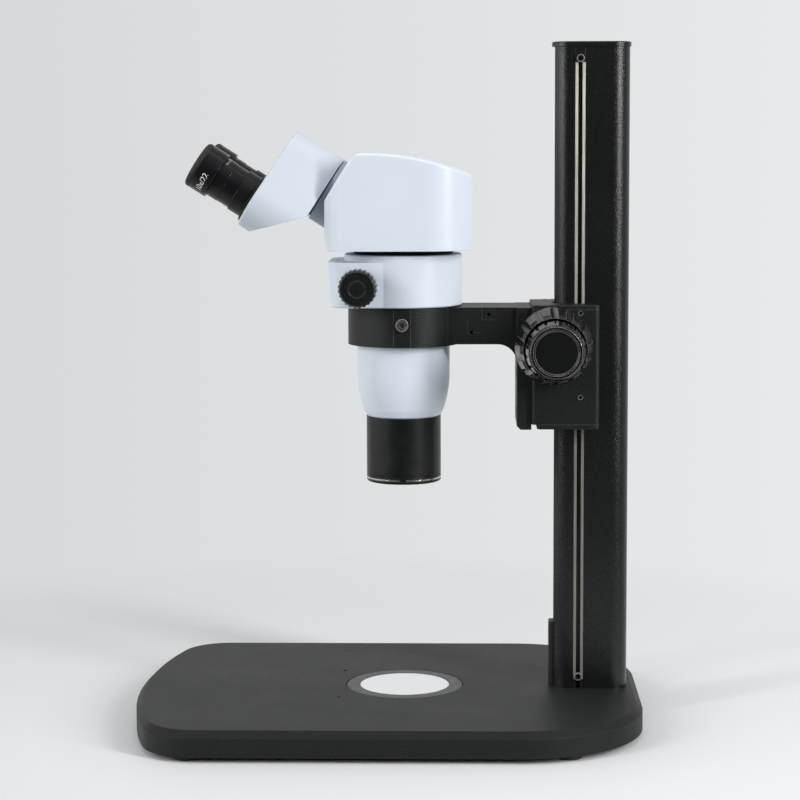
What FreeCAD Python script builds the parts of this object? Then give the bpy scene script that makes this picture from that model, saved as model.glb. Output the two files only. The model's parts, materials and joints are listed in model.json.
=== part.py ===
import FreeCAD
import Part
import math
import os

# Stereo microscope on a track stand. Millimetres, +Z up.
# Origin: centre of the footprint, on the surface that the feet stand on.
# The user sits at -Y, the column stands at +Y, and +X is the user's right.

VECTOR = FreeCAD.Vector
AXIS_X = VECTOR(1, 0, 0)
AXIS_Y = VECTOR(0, 1, 0)
AXIS_Z = VECTOR(0, 0, 1)

# ---- base ----
FOOT_HEIGHT = 4.4
FOOT_RADIUS = 10.0
FOOT_SPIGOT_RADIUS = 6.0
FOOT_SPIGOT_HEIGHT = 3.0
FRONT_FEET = (138.0, -153.0)
REAR_FEET = (132.0, 145.0)
BASE_HALF_WIDTH = 154.0
BASE_HALF_LENGTH = 207.3
BASE_THICKNESS = 20.6
BASE_BEVEL = 5.3
BASE_REAR_RADIUS = 100.0
BASE_FRONT_CORNER = 45.5
BASE_FRONT_BOW = 425.0
BASE_TOP = FOOT_HEIGHT + BASE_THICKNESS
BASE_SKIN = 8.0
BASE_RIM = 10.0
RIB_WIDTH = 6.0

# ---- stage ----
OPTICAL_Y = 13.4
WELL_RADIUS = 48.8
WELL_DEPTH = 7.0
STAGE_RING_RADIUS = 48.3
STAGE_PLATE_RADIUS = 37.2
STAGE_PLATE_THICKNESS = 3.0
CLIP_HOLE_X = 45.35
CLIP_HOLE_Y = -39.1
CLIP_HOLE_RADIUS = 1.65
CLIP_HOLE_DEPTH = 7.0

# ---- column ----
COLUMN_HALF_WIDTH = 14.0
COLUMN_FRONT = 135.6
COLUMN_BACK = 198.0
COLUMN_TOP = 552.0
CAP_THICKNESS = 4.0
CAP_OVERHANG = 1.0
SLOT_HALF_WIDTH = 7.0
SLOT_BACK = 147.0
RAIL_INNER_EDGE = 1.75
RAIL_WIDTH = 2.25
RAIL_Y = 157.2
RAIL_PROUD = 0.3
RAIL_DEPTH = 1.9
GROOVE_DEPTH = 5.0
RAIL_SCREW_RADIUS = 3.2
RAIL_SCREW_HEIGHTS = (35.4, 542.4)
BOLT_PORT_RADIUS = 2.6
BOLT_RADIUS = 2.55
BOLT_HEAD_RADIUS = 5.0
BOLT_PORTS = ((8.5, 150.6), (7.0, 188.5))
STOP_FRONT = 133.2
STOP_TOP = 79.5

# ---- focus drive ----
GEAR_MODULE = 1.0
PRESSURE_ANGLE = math.radians(20.0)
BACKLASH = 0.16
PINION_TEETH = 13
PINION_Y = 135.0
PINION_Z = 312.5
PINION_HALF_WIDTH = 6.0
SHAFT_NECK_RADIUS = 2.2
JOURNAL_RADIUS = 6.0
BUSH_RADIUS = 9.0
RUNNING_GAP = 0.06
FINE_SHAFT_RADIUS = 1.25
RACK_HALF_WIDTH = 6.5
RACK_BOTTOM = 140.0
RACK_TEETH = 121

# ---- focus housing ----
HOUSING_HALF_WIDTH = 35.0
HOUSING_FRONT = 117.8
HOUSING_BACK = 172.2
HOUSING_BOTTOM = 243.7
HOUSING_TOP = 344.5
TOP_COVER = 3.3
BOTTOM_COVER = 3.9
CHANNEL_GAP = 0.8
SHOE_HEIGHTS = (269.9, 334.1)
GUIDE_SCREW_HEIGHTS = (269.9, 338.1)
SHOE_HALF_HEIGHT = 6.0
SHOE_HALF_WIDTH = 4.6
GUIDE_SCREW_RADIUS = 2.0

# ---- focus arm ----
RING_RADIUS = 45.4
RING_BOTTOM = 311.0
RING_TOP = 342.5
ARM_HALF_WIDTH = 26.7
ARM_BOTTOM = 312.3
ARM_TOP = 342.2
PLATE_HALF_WIDTH = 30.0
PLATE_FRONT = 106.0
PLATE_BOTTOM = 242.9
ARM_FILLET = 15.5
CLAMP_Z = 329.4
CLAMP_RADIUS = 5.1
FLAT_X = 44.9
UPPER_HOLE = (83.1, 336.5)
LOWER_HOLE = (69.1, 322.0)
ARM_POCKET_HALF = 5.3
ARM_POCKET_DEPTH = 0.5

# ---- coarse and fine knobs ----
COARSE_RADIUS = 31.2
COARSE_BACK_X = 38.0
COARSE_WIDEST_X = 53.0
COARSE_SHOULDER_RADIUS = 27.0
COARSE_SHOULDER_X = 75.0
COARSE_FACE_RADIUS = 26.0
COARSE_FACE_X = 82.0
COARSE_FLUTES = 14
FLUTE_RADIUS = 3.6
FLUTE_DEPTH = 1.5
KNOB_WELL_RADIUS = 25.0
KNOB_WELL_X = 66.0
FINE_RADIUS = 23.6
FINE_SHOULDER_X = 92.0
FINE_FACE_RADIUS = 21.0
FINE_FACE_X = 104.0
FINE_DISC_RADIUS = 16.8
FINE_FLUTES = 18

# ---- microscope pod ----
BARREL_RADIUS = 38.0
BARREL_WALL = 3.0
BARREL_TAPER_TOP = 287.0
BARREL_BOTTOM = 251.6
BARREL_ARC = 93.0
OBJECTIVE_RADIUS = 30.6
OBJECTIVE_BOTTOM = 197.6
BAND_Z = 200.7
BAND_HALF_HEIGHT = 0.65
GROOVE_Z = 203.6
BODY_RADIUS = 48.3
BODY_BOTTOM = 343.0
BODY_TOP = 385.0
BODY_WALL = 3.5
BOSS_HALF_WIDTH = 46.0
BOSS_FRONT = -46.6
BOSS_FRONT_FOOT = -43.6
BOSS_TOP = 379.7
BOSS_CORNER = 20.0
DOVETAIL_RADIUS = 42.0
DOVETAIL_TOP = 389.0
CHANNEL_X = 12.5
CHANNEL_LENS_RADIUS = 10.4

# ---- zoom drive ----
ZOOM_Y = -21.4
ZOOM_Z = 360.0
ZOOM_KNOB_RADIUS = 15.5
ZOOM_KNOB_FACE_X = 70.0
ZOOM_FLUTES = 24
ZOOM_SHAFT_RADIUS = 3.0
UPPER_PINION_TEETH = 15
LOWER_PINION_TEETH = 10
ROD_X = 28.0
ROD_RADIUS = 2.0
ROD_BOTTOM = 270.0
CARRIER_THICKNESS = 6.0
LOWER_CARRIER_Z = 285.0
UPPER_CARRIER_Z = 318.0

# ---- head ----
HEAD_HALF_WIDTH = 55.0
HEAD_BOTTOM = 389.0
HEAD_WALL = 3.5
HEAD_REAR_RADIUS = 38.0
HEAD_FRONT_RADIUS = 12.0
HEAD_BASE_THICKNESS = 4.0

# ---- eyepiece tubes ----
TUBE_TILT = 32.5
PIVOT_Y = -46.7
PIVOT_Z = 440.2
PIVOT_X = 12.0
OUTPUT_X = 31.0
OUTPUT_V = -40.2
TUBE_ROUND = 24.0
TUBE_BACK = 0.6
TUBE_FRONT = 45.1
TUBE_WALL = 4.0
PRISM_HALF = 5.2
PRISM_START = 20.0
HEEL_START = -28.0
HEEL_END = -64.5
HEEL_TOP = 34.5
SWING_IN = 7.0
SWING_OUT = 10.0
INNER_FACE = 11.6
SLEEVE_RADIUS = 10.2
SLEEVE_BORE = 8.0
SLEEVE_LENGTH = 12.0
NOSE_FACE = -0.4
NOSE_LOW = -30.0
EYETUBE_BORE = 15.1
EYEPIECE_RADIUS = 15.0
FLANGE_RADIUS = 20.7
FLANGE_THICKNESS = 2.0
COLLAR_RADIUS = 17.9
COLLAR_END = 58.8
LOWER_WAIST_RADIUS = 16.8
WAIST_LINE = 69.4
WAIST_RADIUS = 17.2
WAIST_END = 78.9
GRIP_RADIUS = 19.4
GRIP_END = 94.3
EYECUP_END = 98.9


# ---------------------------------------------------------------- helpers

def block(x0, x1, y0, y1, z0, z1):
    return Part.makeBox(x1 - x0, y1 - y0, z1 - z0, VECTOR(x0, y0, z0))


def rod_x(x0, x1, y, z, radius):
    return Part.makeCylinder(radius, x1 - x0, VECTOR(x0, y, z), AXIS_X)


def rod_y(x, y0, y1, z, radius):
    return Part.makeCylinder(radius, y1 - y0, VECTOR(x, y0, z), AXIS_Y)


def rod_z(x, y, z0, z1, radius):
    return Part.makeCylinder(radius, z1 - z0, VECTOR(x, y, z0), AXIS_Z)


def turned(profile, start=0.0, sweep=360.0):
    """Solid of revolution about Z from (radius, height) points."""
    points = [VECTOR(r, 0, z) for r, z in profile]
    face = Part.Face(Part.makePolygon(points + [points[0]]))
    face.rotate(VECTOR(0, 0, 0), AXIS_Z, start)
    return face.revolve(VECTOR(0, 0, 0), AXIS_Z, sweep)


def turned_z(profile, x, y):
    solid = turned(profile)
    solid.translate(VECTOR(x, y, 0))
    return solid


def turned_x(profile, y, z):
    """Solid of revolution about a line along +X, from (radius, x) points."""
    solid = turned(profile)
    solid.rotate(VECTOR(0, 0, 0), AXIS_Y, 90)
    solid.translate(VECTOR(0, y, z))
    return solid


def polygon_yz(points, x0, x1):
    corners = [VECTOR(x0, y, z) for y, z in points]
    face = Part.Face(Part.makePolygon(corners + [corners[0]]))
    return face.extrude(VECTOR(x1 - x0, 0, 0))


def line(a, b):
    return Part.LineSegment(a, b).toShape()


def arc(a, through, b):
    return Part.Arc(a, through, b).toShape()


def corner_arc(cx, cy, z, radius, start, end):
    """Arc in a level plane about (cx, cy), angles in degrees."""
    points = []
    for angle in (start, (start + end) / 2.0, end):
        turn = math.radians(angle)
        points.append(VECTOR(cx + radius * math.cos(turn), cy + radius * math.sin(turn), z))
    return arc(points[0], points[1], points[2])


def joined_face(edges):
    return Part.Face(Part.Wire(Part.__sortEdges__(edges)))


def rounded_block(x0, x1, y0, y1, z0, z1, radius):
    """Upright block with its four vertical edges rounded."""
    edges = [
        corner_arc(x1 - radius, y1 - radius, z0, radius, 0, 90),
        line(VECTOR(x1 - radius, y1, z0), VECTOR(x0 + radius, y1, z0)),
        corner_arc(x0 + radius, y1 - radius, z0, radius, 90, 180),
        line(VECTOR(x0, y1 - radius, z0), VECTOR(x0, y0 + radius, z0)),
        corner_arc(x0 + radius, y0 + radius, z0, radius, 180, 270),
        line(VECTOR(x0 + radius, y0, z0), VECTOR(x1 - radius, y0, z0)),
        corner_arc(x1 - radius, y0 + radius, z0, radius, 270, 360),
        line(VECTOR(x1, y0 + radius, z0), VECTOR(x1, y1 - radius, z0)),
    ]
    return joined_face(edges).extrude(VECTOR(0, 0, z1 - z0))


def slot_prism(half_width, y0, y1, z0, z1):
    """Upright prism with half-round ends at y0 and y1."""
    front = y0 + half_width
    back = y1 - half_width
    edges = [
        corner_arc(0, back, z0, half_width, 0, 180),
        line(VECTOR(-half_width, back, z0), VECTOR(-half_width, front, z0)),
        corner_arc(0, front, z0, half_width, 180, 360),
        line(VECTOR(half_width, front, z0), VECTOR(half_width, back, z0)),
    ]
    return joined_face(edges).extrude(VECTOR(0, 0, z1 - z0))


def level_edges(shape, z):
    """Edges that lie wholly in the level plane z."""
    found = []
    for edge in shape.Edges:
        box = edge.BoundBox
        if abs(box.ZMin - z) < 1e-4 and abs(box.ZMax - z) < 1e-4:
            found.append(edge)
    return found


def fused(shapes):
    solid = shapes[0]
    if len(shapes) > 1:
        solid = solid.multiFuse(shapes[1:])
    return solid.removeSplitter()


def without(shape, tools):
    return shape.cut(list(tools))


def group(shapes):
    return Part.makeCompound(list(shapes))


def mirrored(shape):
    """The same piece on the user's left."""
    return shape.mirror(VECTOR(0, 0, 0), AXIS_X)


def both_sides(shape):
    return [shape, mirrored(shape)]


def tilted(shape):
    """Carry a tube piece from its own frame to its place.

    In a tube's own frame Z runs outward along the eyepiece, X is the
    object's X, and Y points up at a right angle to the eyepiece.
    """
    placed = shape.copy()
    placed.rotate(VECTOR(0, 0, 0), AXIS_X, 90.0 - TUBE_TILT)
    placed.translate(VECTOR(0, PIVOT_Y, PIVOT_Z))
    return placed


def save(name, shape):
    shape.exportStep(os.path.join("parts", name + ".step"))


# ---------------------------------------------------------------- gears

def involute(angle):
    return math.tan(angle) - angle


def gear(teeth, module, x0, x1, first_tooth):
    """Spur gear along X, with one tooth centred at angle first_tooth in the YZ plane."""
    pitch_radius = module * teeth / 2.0
    base_radius = pitch_radius * math.cos(PRESSURE_ANGLE)
    tip_radius = pitch_radius + 0.95 * module
    root_radius = pitch_radius - 1.2 * module
    half_at_pitch = math.pi / (2 * teeth) - BACKLASH / (2 * pitch_radius)
    start_radius = max(base_radius, root_radius)
    radii = [start_radius]
    for step in (1, 2, 3):
        radii.append(start_radius + (tip_radius - start_radius) * step / 3.0)
    flank = [(root_radius, half_at_pitch + involute(PRESSURE_ANGLE) + 0.04)]
    for radius in radii:
        lean = math.acos(min(1.0, base_radius / radius))
        flank.append((radius, half_at_pitch + involute(PRESSURE_ANGLE) - involute(lean)))
    points = []
    for tooth in range(teeth):
        centre = first_tooth + 2 * math.pi * tooth / teeth
        sides = [(r, centre - half) for r, half in flank]
        sides += [(r, centre + half) for r, half in reversed(flank)]
        points += [(r * math.cos(a), r * math.sin(a)) for r, a in sides]
    return polygon_yz(points, x0, x1)


def rack_outline(pitch_y, back_y, module, teeth, first_z, bottom, top):
    """Rack that faces -Y. The first tooth is centred at first_z."""
    pitch = math.pi * module
    tip_y = pitch_y - 0.95 * module
    root_y = pitch_y + 1.2 * module
    half = pitch / 4.0 - BACKLASH / 2.0
    slope = math.tan(PRESSURE_ANGLE)
    half_tip = half - 0.95 * module * slope
    half_root = half + 1.2 * module * slope
    points = [(back_y, bottom), (root_y, bottom)]
    for tooth in range(teeth):
        centre = first_z + tooth * pitch
        points.append((root_y, centre - half_root))
        points.append((tip_y, centre - half_tip))
        points.append((tip_y, centre + half_tip))
        points.append((root_y, centre + half_root))
    points += [(root_y, top), (back_y, top)]
    return points


# ---------------------------------------------------------------- base

def base_outline(inset, z):
    """Plan of the base: round rear corners, straight sides, bowed front edge."""
    half = BASE_HALF_WIDTH - inset
    rear = BASE_REAR_RADIUS - inset
    corner = BASE_FRONT_CORNER - inset
    bow = BASE_FRONT_BOW - inset
    rear_x = BASE_HALF_WIDTH - BASE_REAR_RADIUS
    rear_y = BASE_HALF_LENGTH - BASE_REAR_RADIUS
    front_x = BASE_HALF_WIDTH - BASE_FRONT_CORNER
    bow_y = BASE_FRONT_BOW - BASE_HALF_LENGTH
    reach = BASE_FRONT_BOW - BASE_FRONT_CORNER
    front_y = bow_y - math.sqrt(reach ** 2 - front_x ** 2)
    meet = math.degrees(math.atan2(front_y - bow_y, front_x))
    edges = [
        corner_arc(rear_x, rear_y, z, rear, 0, 90),
        line(VECTOR(rear_x, rear_y + rear, z), VECTOR(-rear_x, rear_y + rear, z)),
        corner_arc(-rear_x, rear_y, z, rear, 90, 180),
        line(VECTOR(-half, rear_y, z), VECTOR(-half, front_y, z)),
        corner_arc(-front_x, front_y, z, corner, -180, -180 - meet),
        corner_arc(0, bow_y, z, bow, -180 - meet, meet),
        corner_arc(front_x, front_y, z, corner, meet, 0),
        line(VECTOR(half, front_y, z), VECTOR(half, rear_y, z)),
    ]
    return joined_face(edges)


def foot_places():
    places = []
    for x, y in (FRONT_FEET, REAR_FEET):
        places += [(x, y), (-x, y)]
    return places


def bolt_places():
    places = []
    for x, y in BOLT_PORTS:
        places += [(x, y), (-x, y)]
    return places


def base_ribs(top):
    """Everything that stays standing in the hollow underside."""
    bottom = FOOT_HEIGHT
    ribs = [rod_z(x, y, bottom, top, 15.0) for x, y in foot_places()]
    ribs.append(rod_z(0, OPTICAL_Y, bottom, top, WELL_RADIUS + 7.0))
    ribs.append(block(-32, 32, 128, BASE_HALF_LENGTH, bottom, top))
    for x in (-80.0, 0.0, 80.0):
        ribs.append(block(x - RIB_WIDTH / 2, x + RIB_WIDTH / 2, -200, 200, bottom, top))
    for y in (-120.0, -48.0, 76.0, 138.0):
        ribs.append(block(-150, 150, y - RIB_WIDTH / 2, y + RIB_WIDTH / 2, bottom, top))
    for side in (1, -1):
        ribs.append(rod_z(side * CLIP_HOLE_X, CLIP_HOLE_Y, bottom, top, 6.0))
    return ribs


def base_plate():
    plate = base_outline(0, FOOT_HEIGHT).extrude(VECTOR(0, 0, BASE_THICKNESS))
    plate = plate.makeChamfer(BASE_BEVEL, level_edges(plate, BASE_TOP))
    hollow_top = BASE_TOP - BASE_SKIN
    hollow = base_outline(BASE_RIM, FOOT_HEIGHT).extrude(VECTOR(0, 0, hollow_top - FOOT_HEIGHT))
    hollow = without(hollow, base_ribs(hollow_top))
    tools = [hollow, rod_z(0, OPTICAL_Y, BASE_TOP - WELL_DEPTH, BASE_TOP, WELL_RADIUS)]
    for x, y in foot_places():
        tools.append(rod_z(x, y, FOOT_HEIGHT, FOOT_HEIGHT + FOOT_SPIGOT_HEIGHT, FOOT_SPIGOT_RADIUS))
    for side in (1, -1):
        tools.append(rod_z(side * CLIP_HOLE_X, CLIP_HOLE_Y, BASE_TOP - CLIP_HOLE_DEPTH, BASE_TOP,
                           CLIP_HOLE_RADIUS))
    for x, y in bolt_places():
        tools.append(rod_z(x, y, FOOT_HEIGHT, BASE_TOP, BOLT_PORT_RADIUS + 0.4))
        tools.append(rod_z(x, y, FOOT_HEIGHT, FOOT_HEIGHT + 8.0, BOLT_HEAD_RADIUS + 0.5))
    return without(plate, tools)


def base_feet():
    profile = [(0, 0), (FOOT_RADIUS - 1.2, 0), (FOOT_RADIUS, 1.2), (FOOT_RADIUS, FOOT_HEIGHT),
               (FOOT_SPIGOT_RADIUS, FOOT_HEIGHT),
               (FOOT_SPIGOT_RADIUS, FOOT_HEIGHT + FOOT_SPIGOT_HEIGHT),
               (0, FOOT_HEIGHT + FOOT_SPIGOT_HEIGHT)]
    return group(turned_z(profile, x, y) for x, y in foot_places())


def stage_ring():
    """Ring that lines the well, with a ledge under the stage plate."""
    bottom = BASE_TOP - WELL_DEPTH
    ledge = BASE_TOP - STAGE_PLATE_THICKNESS - 0.2
    inner = STAGE_PLATE_RADIUS + 0.15
    profile = [(30.0, bottom), (STAGE_RING_RADIUS, bottom), (STAGE_RING_RADIUS, BASE_TOP - 0.6),
               (STAGE_RING_RADIUS - 0.6, BASE_TOP), (inner, BASE_TOP), (inner, ledge), (30.0, ledge)]
    return turned_z(profile, 0, OPTICAL_Y)


def stage_plate():
    top = BASE_TOP - 0.2
    bottom = top - STAGE_PLATE_THICKNESS
    edge = 0.4
    profile = [(0, bottom), (STAGE_PLATE_RADIUS - edge, bottom), (STAGE_PLATE_RADIUS, bottom + edge),
               (STAGE_PLATE_RADIUS, top - edge), (STAGE_PLATE_RADIUS - edge, top), (0, top)]
    return turned_z(profile, 0, OPTICAL_Y)


# ---------------------------------------------------------------- column

def column_profile():
    """Extrusion with half-round ends, a front slot for the rack and a groove in each side."""
    body = slot_prism(COLUMN_HALF_WIDTH, COLUMN_FRONT, COLUMN_BACK, BASE_TOP, COLUMN_TOP)
    outer = RAIL_INNER_EDGE + RAIL_WIDTH + 0.15
    tools = [block(-SLOT_HALF_WIDTH, SLOT_HALF_WIDTH, COLUMN_FRONT - 1, SLOT_BACK, BASE_TOP, COLUMN_TOP)]
    for side in (1, -1):
        seat_x = sorted((side * (COLUMN_HALF_WIDTH - RAIL_DEPTH), side * (COLUMN_HALF_WIDTH + 1)))
        deep_x = sorted((side * (COLUMN_HALF_WIDTH - GROOVE_DEPTH), side * (COLUMN_HALF_WIDTH + 1)))
        tools.append(block(seat_x[0], seat_x[1], RAIL_Y - outer, RAIL_Y + outer, BASE_TOP, COLUMN_TOP))
        tools.append(block(deep_x[0], deep_x[1], RAIL_Y - RAIL_INNER_EDGE, RAIL_Y + RAIL_INNER_EDGE,
                           BASE_TOP, COLUMN_TOP))
    tools.append(rounded_block(-10, 10, 167, 181, BASE_TOP, COLUMN_TOP, 3.0))
    for x, y in bolt_places():
        tools.append(rod_z(x, y, BASE_TOP, COLUMN_TOP, BOLT_PORT_RADIUS))
    return without(body, tools)


def column_rails():
    strips = []
    inner_x = COLUMN_HALF_WIDTH - RAIL_DEPTH
    outer_x = COLUMN_HALF_WIDTH + RAIL_PROUD
    for start in (RAIL_Y - RAIL_INNER_EDGE - RAIL_WIDTH, RAIL_Y + RAIL_INNER_EDGE):
        strip = block(inner_x, outer_x, start, start + RAIL_WIDTH, BASE_TOP, COLUMN_TOP)
        strips += both_sides(strip)
    return group(strips)


def socket_screw_x(x_seat, x_head, x_top, y, z, shank, head, socket):
    """Screw along +X: shank from x_seat, head from x_head to x_top, hexagon socket."""
    body = fused([rod_x(x_seat, x_head, y, z, shank), rod_x(x_head, x_top, y, z, head)])
    points = []
    for corner in range(6):
        turn = math.radians(60 * corner)
        points.append((y + socket * math.cos(turn), z + socket * math.sin(turn)))
    return body.cut(polygon_yz(points, x_top - 2.0, x_top))


def rail_screws():
    """Button screws in the grooves, one near each end of each side."""
    screws = []
    floor_x = COLUMN_HALF_WIDTH - GROOVE_DEPTH
    for z in RAIL_SCREW_HEIGHTS:
        screw = socket_screw_x(floor_x, COLUMN_HALF_WIDTH + RAIL_PROUD, COLUMN_HALF_WIDTH + 2.6,
                               RAIL_Y, z, 1.6, RAIL_SCREW_RADIUS, 1.5)
        screws += both_sides(screw)
    return group(screws)


def column_cap():
    half = COLUMN_HALF_WIDTH + CAP_OVERHANG
    cap = slot_prism(half, COLUMN_FRONT - CAP_OVERHANG, COLUMN_BACK + CAP_OVERHANG, COLUMN_TOP,
                     COLUMN_TOP + CAP_THICKNESS)
    return cap.makeFillet(1.2, level_edges(cap, COLUMN_TOP + CAP_THICKNESS))


def column_bolts():
    bolts = []
    head_top = FOOT_HEIGHT + 8.0
    for x, y in bolt_places():
        shank = rod_z(x, y, head_top, BASE_TOP + 28.0, BOLT_RADIUS)
        head = rod_z(x, y, FOOT_HEIGHT + 2.5, head_top, BOLT_HEAD_RADIUS)
        bolts.append(fused([shank, head]))
    return group(bolts)


def travel_stop():
    """Block in the foot of the front slot that the carriage comes down on."""
    half = SLOT_HALF_WIDTH - 0.3
    stop = block(-half, half, STOP_FRONT, SLOT_BACK, BASE_TOP, STOP_TOP)
    front = [edge for edge in stop.Edges
             if abs(edge.BoundBox.YMax - STOP_FRONT) < 1e-4 and edge.BoundBox.ZMax > BASE_TOP + 1]
    return stop.makeFillet(1.4, front)


def pinion_radius(teeth):
    return GEAR_MODULE * teeth / 2.0


def gear_rack():
    """Steel rack in the slot. A tooth stands level with the pinion's axis."""
    pitch = math.pi * GEAR_MODULE
    below = int((PINION_Z - RACK_BOTTOM) / pitch)
    first = PINION_Z - below * pitch
    top = first + RACK_TEETH * pitch
    points = rack_outline(PINION_Y + pinion_radius(PINION_TEETH), SLOT_BACK, GEAR_MODULE, RACK_TEETH,
                          first, RACK_BOTTOM - 4.0, top)
    return polygon_yz(points, -RACK_HALF_WIDTH, RACK_HALF_WIDTH)


# ---------------------------------------------------------------- focus carriage

def column_channel(gap, z0, z1):
    """Room for the column, open to the back."""
    half = COLUMN_HALF_WIDTH + gap
    return slot_prism(half, COLUMN_FRONT - gap, COLUMN_BACK + gap, z0, z1)


def carriage_plan(front, z0, z1):
    return rounded_block(-HOUSING_HALF_WIDTH, HOUSING_HALF_WIDTH, front, HOUSING_BACK, z0, z1, 3.0)


def focus_housing():
    """U-shaped block round the column that carries the pinion shaft and the guide shoes."""
    bottom = HOUSING_BOTTOM + BOTTOM_COVER
    top = HOUSING_TOP - TOP_COVER
    body = carriage_plan(HOUSING_FRONT, bottom, top)
    tools = [column_channel(CHANNEL_GAP, bottom, top)]
    tools.append(rod_x(-HOUSING_HALF_WIDTH, HOUSING_HALF_WIDTH, PINION_Y, PINION_Z, SHAFT_NECK_RADIUS + 1))
    tools.append(rod_x(-PINION_HALF_WIDTH - 1.5, PINION_HALF_WIDTH + 1.5, PINION_Y, PINION_Z,
                       pinion_radius(PINION_TEETH) + 2.0))
    for side in (1, -1):
        ends = sorted((side * 15.0, side * HOUSING_HALF_WIDTH))
        tools.append(rod_x(ends[0], ends[1], PINION_Y, PINION_Z, BUSH_RADIUS))
        for z in GUIDE_SCREW_HEIGHTS:
            tools.append(rod_x(ends[0], ends[1], RAIL_Y, z, GUIDE_SCREW_RADIUS))
        for z in SHOE_HEIGHTS:
            pocket = sorted((side * 12.0, side * 23.0))
            tools.append(block(pocket[0], pocket[1], RAIL_Y - SHOE_HALF_WIDTH - 0.1,
                               RAIL_Y + SHOE_HALF_WIDTH + 0.1, z - SHOE_HALF_HEIGHT - 0.1,
                               z + SHOE_HALF_HEIGHT + 0.1))
    return without(body, tools)


def top_cover():
    z0 = HOUSING_TOP - TOP_COVER
    cover = carriage_plan(HOUSING_FRONT, z0, HOUSING_TOP)
    cover = cover.makeFillet(0.8, level_edges(cover, HOUSING_TOP))
    return cover.cut(column_channel(CHANNEL_GAP, z0, HOUSING_TOP))


def bottom_cover():
    z1 = HOUSING_BOTTOM + BOTTOM_COVER
    cover = carriage_plan(HOUSING_FRONT + 4.3, HOUSING_BOTTOM, z1)
    cover = cover.makeFillet(0.8, level_edges(cover, HOUSING_BOTTOM))
    return cover.cut(column_channel(CHANNEL_GAP, HOUSING_BOTTOM, z1))


def guide_shoes():
    shoes = []
    inner = COLUMN_HALF_WIDTH + RAIL_PROUD + 0.05
    for z in SHOE_HEIGHTS:
        shoe = block(inner, 23.0, RAIL_Y - SHOE_HALF_WIDTH, RAIL_Y + SHOE_HALF_WIDTH,
                     z - SHOE_HALF_HEIGHT, z + SHOE_HALF_HEIGHT)
        shoes += both_sides(shoe)
    return group(shoes)


def guide_screws():
    screws = []
    for z in GUIDE_SCREW_HEIGHTS:
        screw = socket_screw_x(23.0, 24.0, HOUSING_HALF_WIDTH - 0.2, RAIL_Y, z, 1.4,
                               GUIDE_SCREW_RADIUS - 0.02, 1.1)
        screws += both_sides(screw)
    return group(screws)


def pinion_bushes():
    profile = [(JOURNAL_RADIUS + RUNNING_GAP, 15.0), (BUSH_RADIUS, 15.0),
               (BUSH_RADIUS, HOUSING_HALF_WIDTH), (BUSH_RADIUS + 2.0, HOUSING_HALF_WIDTH),
               (BUSH_RADIUS + 2.0, HOUSING_HALF_WIDTH + 1.4),
               (JOURNAL_RADIUS + RUNNING_GAP, HOUSING_HALF_WIDTH + 1.4)]
    return group(both_sides(turned_x(profile, PINION_Y, PINION_Z)))


def arm_screw_places():
    return [(x, z) for x in (-18.0, 18.0) for z in (256.0, 288.0)]


def focus_arm():
    """One casting: ring, arm and the upright plate that the housing bolts to."""
    fillet = ARM_FILLET
    side = [(HOUSING_FRONT, ARM_TOP), (OPTICAL_Y, ARM_TOP), (OPTICAL_Y, ARM_BOTTOM),
            (PLATE_FRONT - fillet, ARM_BOTTOM)]
    for step in range(1, 8):
        turn = math.radians(90.0 - step * 90.0 / 8)
        side.append((PLATE_FRONT - fillet + fillet * math.cos(turn),
                     ARM_BOTTOM - fillet + fillet * math.sin(turn)))
    side.append((PLATE_FRONT, ARM_BOTTOM - fillet))
    side += [(PLATE_FRONT, ARM_BOTTOM - fillet - 1), (HOUSING_FRONT, ARM_BOTTOM - fillet - 1)]
    arm = polygon_yz(side, -ARM_HALF_WIDTH, ARM_HALF_WIDTH)
    plate = polygon_yz([(HOUSING_FRONT, ARM_TOP), (PLATE_FRONT, ARM_TOP), (PLATE_FRONT, PLATE_BOTTOM + 3),
                        (PLATE_FRONT + 3, PLATE_BOTTOM), (HOUSING_FRONT, PLATE_BOTTOM)],
                       -PLATE_HALF_WIDTH, PLATE_HALF_WIDTH)
    ring = rod_z(0, OPTICAL_Y, RING_BOTTOM, RING_TOP, RING_RADIUS)
    body = fused([arm, plate, ring])
    tools = [rod_z(0, OPTICAL_Y, RING_BOTTOM - 5, RING_TOP + 1, BARREL_RADIUS + RUNNING_GAP)]
    tools.append(block(FLAT_X, FLAT_X + 5, OPTICAL_Y - 12, OPTICAL_Y + 12, RING_BOTTOM, RING_TOP))
    tools.append(block(-FLAT_X - 5, -FLAT_X, OPTICAL_Y - 12, OPTICAL_Y + 12, RING_BOTTOM, RING_TOP))
    pocket_x = ARM_HALF_WIDTH - ARM_POCKET_DEPTH
    half = ARM_POCKET_HALF
    tools.append(block(pocket_x, ARM_HALF_WIDTH, UPPER_HOLE[0] - half, UPPER_HOLE[0] + half,
                       UPPER_HOLE[1] - half + 1, ARM_TOP))
    tools.append(block(pocket_x, ARM_HALF_WIDTH, LOWER_HOLE[0] - 3, LOWER_HOLE[0] + 2 * half - 3,
                       LOWER_HOLE[1], LOWER_HOLE[1] + 2 * half))
    for y, z in (UPPER_HOLE, LOWER_HOLE):
        tools.append(rod_x(ARM_HALF_WIDTH - 4, ARM_HALF_WIDTH, y, z, 1.5))
    tools.append(rod_x(30, 50, OPTICAL_Y, CLAMP_Z, 2.5 + RUNNING_GAP))
    tools.append(rod_x(FLAT_X - 2.6, 50, OPTICAL_Y, CLAMP_Z, CLAMP_RADIUS + 0.3))
    for x, z in arm_screw_places():
        tools.append(rod_y(x, PLATE_FRONT, HOUSING_FRONT, z, 2.6))
        tools.append(rod_y(x, PLATE_FRONT, PLATE_FRONT + 5.5, z, 4.6))
    return without(body, tools)


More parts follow.
